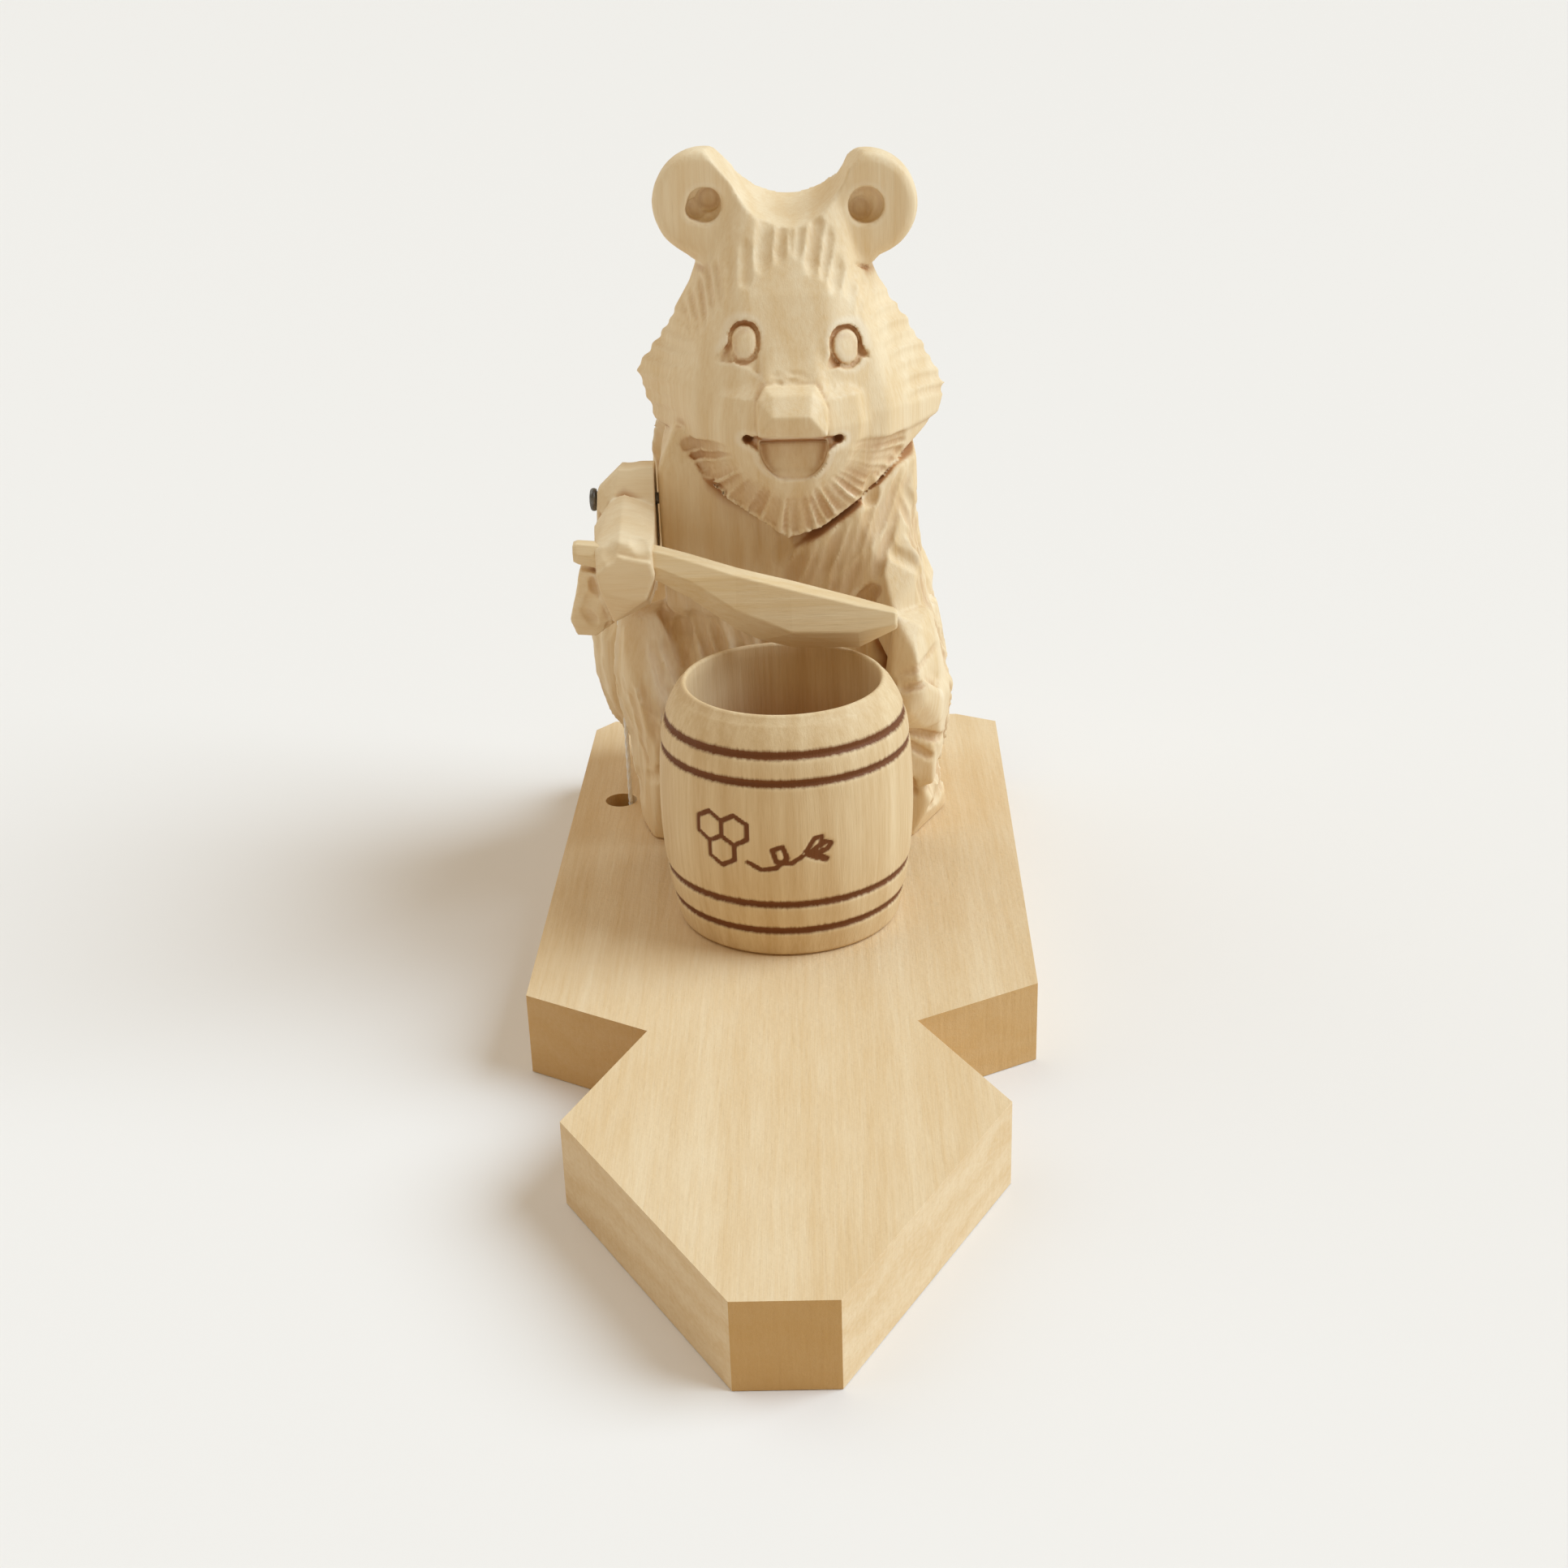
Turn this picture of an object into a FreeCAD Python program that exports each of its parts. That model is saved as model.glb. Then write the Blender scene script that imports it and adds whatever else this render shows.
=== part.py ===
import FreeCAD, Part
import math
import os
import Sketcher

# A carved wooden bear that sits behind a turned barrel on a sawn board and dips a spoon in it.
# Millimetres.  Z is up, the board's underside is Z = 0, +Y runs from the handle to the bear's back,
# and Y = 0 is where the wide part of the board starts.

os.makedirs("parts", exist_ok=True)
doc = FreeCAD.newDocument("honey_bear")
V = FreeCAD.Vector

# ---------------------------------------------------------------- driving dimensions

DIMENSIONS = {
    # board outline, front to back; left and right are sawn by hand, so each side has its own values
    "board_thick": 14.2,
    "nose_left": 6.9,
    "nose_right": 7.5,
    "nose_front": 79.0,
    "tab_left": 32.6,
    "tab_left_front": 37.1,
    "tab_right": 33.1,
    "tab_right_front": 34.2,
    "notch_left": 21.6,
    "notch_left_front": 12.1,
    "notch_right": 20.5,
    "notch_right_front": 10.6,
    "shoulder_left": 41.9,
    "shoulder_right": 40.3,
    "shoulder_skew": 0.3,
    "rear_left": 40.4,
    "rear_right": 42.6,
    "side_back": 110.0,
    "corner_left": 36.8,
    "corner_right": 34.7,
    "board_back": 114.4,
    "hole_dia": 6.0,
    "hole_left": 32.4,
    "hole_back": 74.6,
    "kerf_width": 2.4,
    "kerf_depth": 3.0,
    # turned barrel
    "barrel_right": 0.4,
    "barrel_back": 29.7,
    "barrel_foot_radius": 18.8,
    "barrel_belly_radius": 21.35,
    "barrel_belly_up": 20.5,
    "barrel_shoulder_up": 34.0,
    "barrel_neck_curve": 13.0,
    "barrel_lip_radius": 16.9,
    "barrel_tall": 42.1,
    "barrel_mouth_radius": 16.1,
    "barrel_mouth_up": 41.7,
    "barrel_bore_curve": 90.0,
    "barrel_floor_radius": 14.8,
    "barrel_floor_up": 9.0,
    "ring_round": 0.6,
    # nails: one shape of shank and head, in line-to-line holes
    "nail_dia": 2.0,
    "nail_head_dia": 4.0,
    "nail_head_thick": 1.2,
    "recess_dia": 4.6,
    "recess_depth": 1.6,
    "board_nail_long": 27.0,
    "barrel_nail_long": 19.0,
    "front_nail_back": 68.0,
    "rear_nail_back": 94.0,
    # moving arm: the pivot, and the slab that both of its outlines are cut from
    "pivot_back": 60.0,
    "pivot_up": 78.5,
    "pivot_bore_dia": 2.15,
    "arm_outer": 36.3,
    "pivot_face": 31.4,
    "shoulder_nail_long": 23.0,
    "tail_bore_dia": 1.8,
    # thread and pendulum ball
    "thread_dia": 0.9,
    "thread_left": 30.5,
    "thread_back": 73.5,
    "thread_top": 73.7,
    "knot_dia": 2.6,
    "ball_dia": 28.0,
    "ball_right": 12.0,
    "ball_back": 131.0,
    "ball_bore_dia": 2.0,
    # carved face and ears
    "ear_radius": 8.8,
    "ear_thick": 8.0,
    "ear_front": 68.0,
    "ear_left": 11.4,
    "ear_left_up": 126.9,
    "ear_right": 16.0,
    "ear_right_up": 126.0,
    "ear_hole_radius": 3.0,
    "ear_hole_deep": 3.0,
    "eye_radius": 2.5,
    "eye_groove": 0.45,
    "eye_front": 53.4,
    "eye_left": 5.0,
    "eye_left_up": 106.0,
    "eye_right": 12.0,
    "eye_right_up": 104.8,
    "mouth_left": 2.8,
    "mouth_wide": 11.8,
    "mouth_front": 43.0,
    "mouth_deep": 7.4,
    "mouth_up": 85.4,
    "mouth_tall": 5.2,
}

# Knife-cut masses: each is a loft through eight-sided sections.  A row is one section:
# right, back, up, the two sizes across it, and the share of each side that stays flat.
SECTIONS = {
    "torso": [
        (0.0, 82.0, 14.2, 50.0, 42.0, 0.50),
        (0.0, 80.0, 32.0, 56.0, 50.0, 0.45),
        (0.6, 80.0, 48.0, 53.0, 50.0, 0.45),
        (2.2, 78.5, 57.0, 46.0, 47.0, 0.45),
        (2.2, 77.0, 70.0, 46.0, 44.0, 0.50),
        (0.9, 74.0, 88.0, 43.4, 40.0, 0.50),
        (1.5, 73.0, 96.0, 36.0, 32.0, 0.50),
    ],
    "head": [
        (1.7, 56.5, 73.6, 7.0, 9.0, 0.40),
        (2.6, 63.0, 82.0, 34.0, 24.0, 0.50),
        (2.4, 71.0, 96.0, 55.0, 39.0, 0.35),
        (2.4, 72.0, 108.0, 42.0, 36.0, 0.45),
        (2.4, 73.0, 118.0, 30.0, 27.0, 0.50),
        (2.8, 74.0, 123.5, 18.0, 16.0, 0.50),
    ],
    "rump": [
        (-22.0, 90.0, 15.0, 16.0, 14.0, 0.50),
        (-23.5, 90.0, 34.0, 26.0, 19.0, 0.45),
        (-23.5, 90.0, 44.0, 26.0, 19.0, 0.45),
        (-19.0, 88.0, 60.0, 10.0, 12.0, 0.50),
    ],
    "right_shoulder": [
        (-14.5, 64.0, 62.0, 12.0, 16.0, 0.50),
        (-12.9, 63.0, 70.0, 16.0, 21.0, 0.60),
        (-12.9, 63.0, 84.0, 16.0, 21.0, 0.60),
        (-11.0, 65.0, 92.0, 10.0, 14.0, 0.50),
    ],
    "left_leg": [
        (-16.0, 70.0, 14.2, 20.0, 32.0, 0.50),
        (-17.0, 62.0, 24.0, 23.0, 26.0, 0.45),
        (-21.5, 59.0, 42.0, 24.0, 17.0, 0.45),
        (-17.5, 62.0, 55.0, 14.0, 14.0, 0.50),
    ],
    "right_leg": [
        (19.0, 69.0, 14.2, 19.0, 32.0, 0.50),
        (20.0, 67.0, 24.0, 18.0, 30.0, 0.45),
        (19.0, 68.0, 36.0, 14.0, 26.0, 0.50),
    ],
    "left_arm": [
        (23.6, 56.0, 28.0, 9.0, 14.0, 0.50),
        (25.3, 54.5, 36.0, 11.5, 19.0, 0.45),
        (24.6, 56.0, 50.0, 12.5, 22.0, 0.45),
        (21.5, 62.0, 62.0, 11.0, 20.0, 0.50),
        (19.0, 68.0, 76.0, 9.0, 18.0, 0.50),
    ],
    "muzzle": [
        (3.0, 58.0, 90.0, 32.0, 27.0, 0.50),
        (3.0, 51.0, 90.5, 20.0, 17.0, 0.50),
        (3.2, 45.4, 94.6, 10.6, 6.6, 0.60),
    ],
    "spoon": [
        (-34.8, 45.6, 73.7, 3.6, 3.6, 0.60),
        (-20.6, 44.0, 70.8, 3.8, 4.4, 0.60),
        (-7.0, 42.3, 65.2, 5.0, 9.6, 0.55),
        (0.0, 41.5, 63.1, 5.4, 11.0, 0.50),
        (13.0, 40.3, 61.2, 5.0, 8.0, 0.50),
        (19.7, 39.3, 62.4, 2.4, 3.0, 0.50),
    ],
}
SECTION_VALUES = ("right", "back", "up", "across", "along", "flat")

# Seen from the side (back, up): shoulder, forearm, paw, then the tail that the thread pulls.
ARM_SIDE = [
    (57.5, 84.8), (55.5, 78.0), (43.0, 73.6), (40.6, 66.0), (46.0, 57.6), (55.0, 57.4),
    (62.5, 68.6), (79.0, 68.8), (79.5, 73.4), (68.5, 74.4), (63.5, 84.4),
]
# Seen from the front (left, up), outer edge first.
ARM_FRONT = [
    (21.3, 85.4), (27.2, 85.4), (31.4, 80.8), (31.4, 76.0), (36.3, 61.0), (35.2, 56.4),
    (29.0, 56.4), (22.0, 65.0), (21.3, 67.0),
]

# The thread below the board: straight down its hole, back along the saw kerf, then loose behind.
THREAD_ROUTE = [
    (-30.5, 73.5, 14.2), (-30.5, 73.5, 1.30), (-30.5, 92.0, 1.30), (-30.5, 114.0, 1.20),
    (-34.5, 126.0, 0.55), (-29.0, 140.0, 0.50), (-20.0, 136.0, 0.50), (-19.5, 122.0, 0.50),
    (-10.5, 120.5, 0.50), (-9.5, 130.8, 0.90), (-8.0, 131.0, 13.6), (-1.0, 131.0, 14.0),
]

sheet = doc.addObject("Spreadsheet::Sheet", "Dimensions")


def enter(rows):
    """Writes alias and value pairs under the rows that the sheet already has."""
    first = len(sheet.getUsedCells()) // 2 + 1
    for number, (alias, value) in enumerate(rows, first):
        sheet.set(f"A{number}", alias)
        sheet.set(f"B{number}", str(value))
        sheet.setAlias(f"B{number}", alias)


enter(DIMENSIONS.items())
for mass, rows in SECTIONS.items():
    for count, row in enumerate(rows, 1):
        enter((f"{mass}_{count}_{word}", value) for word, value in zip(SECTION_VALUES, row))
for outline, points in (("side", ARM_SIDE), ("front", ARM_FRONT)):
    for count, (across, up) in enumerate(points, 1):
        enter([(f"arm_{outline}_{count}_out", across), (f"arm_{outline}_{count}_up", up)])
doc.recompute()


# ---------------------------------------------------------------- helpers

def bind(item, **expressions):
    """Binds properties to the sheet: every word that is an alias becomes a reference to it."""
    for name, text in expressions.items():
        item.setExpression(name.replace("__", "."), reference(text))


def reference(text):
    words = text.replace("(", " ( ").replace(")", " ) ").split()
    return " ".join(f"Dimensions.{word}" if word[0].isalpha() else word for word in words)


def place(item, right="0", back="0", up="0", turn=(0, 0, 0)):
    """Puts an object at bound coordinates, turned by fixed yaw, pitch and roll angles."""
    item.Placement = FreeCAD.Placement(V(0, 0, 0), FreeCAD.Rotation(*turn))
    item.setExpression("Placement.Base.x", reference(right))
    item.setExpression("Placement.Base.y", reference(back))
    item.setExpression("Placement.Base.z", reference(up))
    return item


def primitive(kind, label, **sizes):
    item = doc.addObject(f"Part::{kind}", label)
    bind(item, **sizes)
    return item


def join(kind, label, **links):
    """A boolean or a loft of other objects."""
    item = doc.addObject(f"Part::{kind}", label)
    for name, value in links.items():
        setattr(item, name, value)
    return item


def chain(sketch, corners):
    """Adds a closed chain of lines through the corners to a sketch."""
    first = sketch.GeometryCount
    total = len(corners)
    for number, corner in enumerate(corners):
        following = corners[(number + 1) % total]
        sketch.addGeometry(Part.LineSegment(V(*corner, 0), V(*following, 0)))
    for number in range(total):
        following = first + (number + 1) % total
        sketch.addConstraint(Sketcher.Constraint("Coincident", first + number, 2, following, 1))
    return first


def pin(sketch, line, end, across, up):
    """Ties a line's end to the origin by two bound distances; each is (sign, expression)."""
    for kind, (sign, text) in (("DistanceX", across), ("DistanceY", up)):
        size = abs(getattr(sketch.getPoint(line, end), kind[-1].lower()))
        ends = (-1, 1, line, end) if sign > 0 else (line, end, -1, 1)
        number = sketch.addConstraint(Sketcher.Constraint(kind, *ends, size))
        sketch.setExpression(f"Constraints[{number}]", reference(text))


def section(mass, count, row, turn):
    """One eight-sided section, centred on its own origin and symmetric both ways."""
    alias = f"{mass}_{count}_"
    across, along, flat = row[3] / 2, row[4] / 2, row[5]
    sketch = doc.addObject("Sketcher::SketchObject", f"{mass}_section_{count}")
    chain(sketch, [
        (-across * flat, -along), (across * flat, -along), (across, -along * flat),
        (across, along * flat), (across * flat, along), (-across * flat, along),
        (-across, along * flat), (-across, -along * flat),
    ])
    symmetric = [(0, 1, 0, 2, -2), (4, 1, 4, 2, -2), (2, 1, 2, 2, -1), (6, 1, 6, 2, -1),
                 (0, 1, 4, 2, -1), (2, 1, 6, 2, -2)]
    for ends in symmetric:
        sketch.addConstraint(Sketcher.Constraint("Symmetric", *ends))
    sizes = [("DistanceX", 6, 2, 2, 1, f"{alias}across"), ("DistanceY", 0, 1, 4, 2, f"{alias}along"),
             ("DistanceX", 0, 1, 0, 2, f"{alias}across * {alias}flat"),
             ("DistanceY", 2, 1, 2, 2, f"{alias}along * {alias}flat")]
    for kind, line, end, other, other_end, text in sizes:
        start, finish = sketch.getPoint(line, end), sketch.getPoint(other, other_end)
        size = abs(finish.x - start.x) if kind == "DistanceX" else abs(finish.y - start.y)
        number = sketch.addConstraint(Sketcher.Constraint(kind, line, end, other, other_end, size))
        sketch.setExpression(f"Constraints[{number}]", reference(text))
    return place(sketch, f"{alias}right", f"{alias}back", f"{alias}up", turn)


def carved(mass, label=None, turn=(0, 0, 0)):
    """A knife-cut mass: flat facets between neighbouring sections."""
    sketches = [section(mass, count, row, turn) for count, row in enumerate(SECTIONS[mass], 1)]
    return join("Loft", label or f"{mass}_mass", Sections=sketches, Solid=True, Ruled=True)


def origin_plane(body, role):
    return next(item for item in body.Origin.OriginFeatures if item.Role == role)


def body_sketch(body, role, name):
    sketch = body.newObject("Sketcher::SketchObject", name)
    sketch.AttachmentSupport = [(origin_plane(body, role), "")]
    sketch.MapMode = "FlatFace"
    return sketch


def add_circle(sketch, right, back, diameter):
    """A circle with a bound centre and diameter; each coordinate is (sign, alias, value)."""
    centre = V(right[0] * right[2], back[0] * back[2], 0)
    number = sketch.addGeometry(Part.Circle(centre, V(0, 0, 1), DIMENSIONS[diameter] / 2))
    pin(sketch, number, 3, right[:2], back[:2])
    size = sketch.addConstraint(Sketcher.Constraint("Diameter", number, DIMENSIONS[diameter]))
    sketch.setExpression(f"Constraints[{size}]", reference(diameter))


def upward_pocket(body, sketch, depth=None):
    """Cuts up from the underside, right through unless a depth is given."""
    pocket = body.newObject("PartDesign::Pocket", f"{sketch.Name}_cut")
    pocket.Profile = sketch
    pocket.Reversed = True
    if depth:
        pocket.setExpression("Length", reference(depth))
    else:
        pocket.Type = "ThroughAll"
    return pocket


def smooth_route(points):
    """Straight runs joined by tangent arcs; also gives the arcs' radii."""
    edges = []
    radii = []
    start = V(*points[0])
    for number in range(1, len(points) - 1):
        before, corner, after = (V(*points[number + step]) for step in (-1, 0, 1))
        arriving = corner - before
        leaving = after - corner
        half_turn = arriving.getAngle(leaving) / 2
        if half_turn < math.radians(0.3):
            edges.append(Part.makeLine(start, corner))
            start = corner
            continue
        trim = 0.45 * min(arriving.Length, leaving.Length)
        radii.append(trim / math.tan(half_turn))
        into = corner - arriving.normalize() * trim
        out = corner + leaving.normalize() * trim
        bisector = (leaving - arriving).normalize()
        middle = corner + bisector * radii[-1] * (1 / math.cos(half_turn) - 1)
        edges.append(Part.makeLine(start, into))
        edges.append(Part.Arc(into, middle, out).toShape())
        start = out
    edges.append(Part.makeLine(start, V(*points[-1])))
    return Part.Wire(edges), radii


# ---------------------------------------------------------------- base board

board = doc.addObject("PartDesign::Body", "base_board")
board_outline = body_sketch(board, "XY_Plane", "board_outline")
BOARD_CORNERS = [
    ((-1, "nose_left"), (-1, "nose_front")), ((1, "nose_right"), (-1, "nose_front")),
    ((1, "tab_right"), (-1, "tab_right_front")), ((1, "notch_right"), (-1, "notch_right_front")),
    ((1, "shoulder_right"), (1, "shoulder_skew")), ((1, "rear_right"), (1, "side_back")),
    ((1, "corner_right"), (1, "board_back")), ((-1, "corner_left"), (1, "board_back")),
    ((-1, "rear_left"), (1, "side_back")), ((-1, "shoulder_left"), (-1, "shoulder_skew")),
    ((-1, "notch_left"), (-1, "notch_left_front")), ((-1, "tab_left"), (-1, "tab_left_front")),
]
chain(board_outline, [
    (sign_x * DIMENSIONS[across], sign_y * DIMENSIONS[up])
    for (sign_x, across), (sign_y, up) in BOARD_CORNERS
])
for line, (across, up) in enumerate(BOARD_CORNERS):
    pin(board_outline, line, 1, across, up)
slab = board.newObject("PartDesign::Pad", "board_slab")
slab.Profile = board_outline
slab.setExpression("Length", reference("board_thick"))

thread_hole = body_sketch(board, "XY_Plane", "thread_hole")
add_circle(thread_hole, (-1, "hole_left", DIMENSIONS["hole_left"]),
           (1, "hole_back", DIMENSIONS["hole_back"]), "hole_dia")
upward_pocket(board, thread_hole)

# one nail through the board under the barrel, two under the bear
NAIL_PLACES = {"barrel_nail": "barrel_back", "body_nail_front": "front_nail_back",
               "body_nail_rear": "rear_nail_back"}
for use, diameter, depth in (("shanks", "nail_dia", None), ("recesses", "recess_dia", "recess_depth")):
    circles = body_sketch(board, "XY_Plane", f"nail_{use}")
    for back in NAIL_PLACES.values():
        add_circle(circles, (1, "barrel_right", DIMENSIONS["barrel_right"]),
                   (1, back, DIMENSIONS[back]), diameter)
    upward_pocket(board, circles, depth)

# the saw kerf that lets the thread out at the back while the board stands flat
kerf = body_sketch(board, "XY_Plane", "thread_kerf")
kerf_left = DIMENSIONS["thread_left"] + DIMENSIONS["kerf_width"] / 2
kerf_right = DIMENSIONS["thread_left"] - DIMENSIONS["kerf_width"] / 2
kerf_ends = ((-1, "thread_left + kerf_width / 2"), (-1, "thread_left - kerf_width / 2"))
chain(kerf, [(-kerf_left, DIMENSIONS["hole_back"]), (-kerf_right, DIMENSIONS["hole_back"]),
             (-kerf_right, DIMENSIONS["board_back"] + 1), (-kerf_left, DIMENSIONS["board_back"] + 1)])
for line, across, up in ((0, 0, "hole_back"), (1, 1, "hole_back"),
                         (2, 1, "board_back + 1"), (3, 0, "board_back + 1")):
    pin(kerf, line, 1, kerf_ends[across], (1, up))
upward_pocket(board, kerf, "kerf_depth")


# ---------------------------------------------------------------- honey barrel

turned = doc.addObject("PartDesign::Body", "barrel_turning")
profile = body_sketch(turned, "XZ_Plane", "barrel_profile")


def barrel_point(word):
    return V(DIMENSIONS[f"barrel_{word}_radius"], DIMENSIONS[f"barrel_{word}_up"], 0)


def bulge(start, end, radius):
    """The arc of a given radius from start to end that bulges away from the axis."""
    chord = end - start
    rise = radius - math.sqrt(radius ** 2 - (chord.Length / 2) ** 2)
    outward = V(abs(chord.y), -chord.x if chord.y > 0 else chord.x, 0).normalize()
    return Part.Arc(start, (start + end) / 2 + outward * rise, end)


foot = V(DIMENSIONS["barrel_foot_radius"], 0, 0)
belly = barrel_point("belly")
lip = V(DIMENSIONS["barrel_lip_radius"], DIMENSIONS["barrel_tall"], 0)
floor_centre = V(0, DIMENSIONS["barrel_floor_up"], 0)
swell = belly.x - foot.x
belly_curve = (swell ** 2 + belly.y ** 2) / (2 * swell)
shoulder_drop = DIMENSIONS["barrel_shoulder_up"] - belly.y
shoulder = V(belly.x - belly_curve + math.sqrt(belly_curve ** 2 - shoulder_drop ** 2),
             DIMENSIONS["barrel_shoulder_up"], 0)
profile_parts = [
    Part.LineSegment(V(0, 0, 0), foot),
    Part.Arc(foot, belly, shoulder),
    bulge(shoulder, lip, DIMENSIONS["barrel_neck_curve"]),
    Part.LineSegment(lip, barrel_point("mouth")),
    bulge(barrel_point("mouth"), barrel_point("floor"), DIMENSIONS["barrel_bore_curve"]),
    Part.LineSegment(barrel_point("floor"), floor_centre),
    Part.LineSegment(floor_centre, V(0, 0, 0)),
]
profile.addGeometry(profile_parts)
# sketch arcs run anticlockwise, so which end of an arc meets its neighbour is worked out
for number in range(len(profile_parts)):
    follower = (number + 1) % len(profile_parts)
    end, other = next(
        (end, other) for end in (1, 2) for other in (1, 2)
        if (profile.getPoint(number, end) - profile.getPoint(follower, other)).Length < 1e-6)
    profile.addConstraint(Sketcher.Constraint("Coincident", number, end, follower, other))
profile.addConstraint(Sketcher.Constraint("Coincident", 0, 1, -1, 1))
profile.addConstraint(Sketcher.Constraint("Vertical", 6))
profile.addConstraint(Sketcher.Constraint("Horizontal", 0))
profile.addConstraint(Sketcher.Constraint("Horizontal", 5))


def size_profile(line, end, across, up):
    """Binds one profile point; a point on the axis or the underside needs one distance."""
    for kind, text in (("DistanceX", across), ("DistanceY", up)):
        if text:
            size = getattr(profile.getPoint(line, end), kind[-1].lower())
            number = profile.addConstraint(Sketcher.Constraint(kind, -1, 1, line, end, size))
            profile.setExpression(f"Constraints[{number}]", reference(text))


size_profile(0, 2, "barrel_foot_radius", None)
size_profile(1, 3, None, "barrel_belly_up")
size_profile(1, 2, None, "barrel_shoulder_up")
size_profile(3, 1, "barrel_lip_radius", "barrel_tall")
size_profile(3, 2, "barrel_mouth_radius", "barrel_mouth_up")
size_profile(5, 1, "barrel_floor_radius", "barrel_floor_up")
SWELL = "( barrel_belly_radius - barrel_foot_radius )"
CURVES = {1: f"( {SWELL} ^ 2 + barrel_belly_up ^ 2 ) / ( 2 * {SWELL} )",
          2: "barrel_neck_curve", 4: "barrel_bore_curve"}
for arc, text in CURVES.items():
    number = profile.addConstraint(Sketcher.Constraint("Radius", arc, profile.Geometry[arc].Radius))
    profile.setExpression(f"Constraints[{number}]", reference(text))
revolved = turned.newObject("PartDesign::Revolution", "barrel_solid")
revolved.Profile = profile
revolved.ReferenceAxis = (profile, ["V_Axis"])
revolved.Angle = 360
place(turned, "barrel_right", "barrel_back", "board_thick")

# four burned rings, each a shallow round-bottomed groove on the belly
RINGS = {"lower_foot": (19.93, 5.1), "upper_foot": (20.72, 10.3),
         "lower_top": (20.58, 31.8), "upper_top": (19.62, 36.3)}
ring_tools = []
for word, (radius, up) in RINGS.items():
    enter([(f"ring_{word}_radius", radius), (f"ring_{word}_up", up)])
    groove = primitive("Torus", f"ring_{word}", Radius1=f"ring_{word}_radius + 0.15",
                       Radius2="ring_round")
    ring_tools.append(place(groove, "barrel_right", "barrel_back", f"board_thick + ring_{word}_up"))
barrel_nail_hole = primitive("Cylinder", "barrel_nail_hole", Radius="nail_dia / 2",
                             Height="nail_head_thick + barrel_nail_long")
place(barrel_nail_hole, "barrel_right", "barrel_back", "0")
barrel_cuts = join("MultiFuse", "barrel_cuts", Shapes=ring_tools + [barrel_nail_hole])
barrel = join("Cut", "honey_barrel", Base=turned, Tool=barrel_cuts)


# ---------------------------------------------------------------- bear: body, head, legs and one arm

UPRIGHT_MASSES = ("torso", "head", "rump", "right_shoulder", "left_leg", "right_leg", "left_arm")
masses = [carved(mass) for mass in UPRIGHT_MASSES]
# the muzzle's sections face forward
masses.append(carved("muzzle", turn=(0, 0, 90)))
ear_holes = []
eye_grooves = []
for side, sign in (("left", "-"), ("right", "")):
    centre = f"{sign} 1 * ear_{side}" if sign else f"ear_{side}"
    ear = primitive("Cylinder", f"ear_{side}_disc", Radius="ear_radius", Height="ear_thick")
    masses.append(place(ear, centre, "ear_front + ear_thick", f"ear_{side}_up", (0, 0, 90)))
    hole = primitive("Cylinder", f"ear_{side}_hole", Radius="ear_hole_radius",
                     Height="ear_hole_deep + 1")
    ear_holes.append(place(hole, centre, "ear_front + ear_hole_deep", f"ear_{side}_up", (0, 0, 90)))
    centre = f"{sign} 1 * eye_{side}" if sign else f"eye_{side}"
    groove = primitive("Torus", f"eye_{side}_groove", Radius1="eye_radius", Radius2="eye_groove")
    eye_grooves.append(place(groove, centre, "eye_front", f"eye_{side}_up", (0, 0, 80)))

nail_holes = []
for name in ("body_nail_front", "body_nail_rear"):
    hole = primitive("Cylinder", f"{name}_hole", Radius="nail_dia / 2",
                     Height="nail_head_thick + board_nail_long")
    nail_holes.append(place(hole, "barrel_right", NAIL_PLACES[name], "0"))
shoulder_hole = primitive("Cylinder", "shoulder_nail_hole", Radius="nail_dia / 2",
                          Height="shoulder_nail_long")
place(shoulder_hole, "- 1 * pivot_face - 0.3", "pivot_back", "pivot_up", (0, 90, 0))

mouth = primitive("Box", "mouth_notch", Length="mouth_wide", Width="mouth_deep", Height="mouth_tall")
place(mouth, "- 1 * mouth_left", "mouth_front", "mouth_up")

carving = join("MultiFuse", "bear_carving", Shapes=masses)
bear_cuts = join("MultiFuse", "bear_cuts",
                 Shapes=ear_holes + eye_grooves + nail_holes + [mouth, shoulder_hole])
bear = join("Cut", "bear_body", Base=carving, Tool=bear_cuts)


# ---------------------------------------------------------------- spoon and moving arm

spoon = carved("spoon", "spoon", turn=(90, 0, 90))


def arm_slab(name, role, outline, sign, length, offset):
    """A slab cut to one outline of the arm; two of them crossed leave the carved blank."""
    body = doc.addObject("PartDesign::Body", name)
    sketch = body_sketch(body, role, f"{name}_outline")
    points = ARM_SIDE if outline == "side" else ARM_FRONT
    chain(sketch, [(sign * across, up) for across, up in points])
    for line in range(len(points)):
        alias = f"arm_{outline}_{line + 1}_"
        pin(sketch, line, 1, (sign, f"{alias}out"), (1, f"{alias}up"))
    pad = body.newObject("PartDesign::Pad", f"{name}_pad")
    pad.Profile = sketch
    pad.setExpression("Length", reference(length))
    sketch.setExpression("AttachmentOffset.Base.z", reference(offset))
    return body


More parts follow.
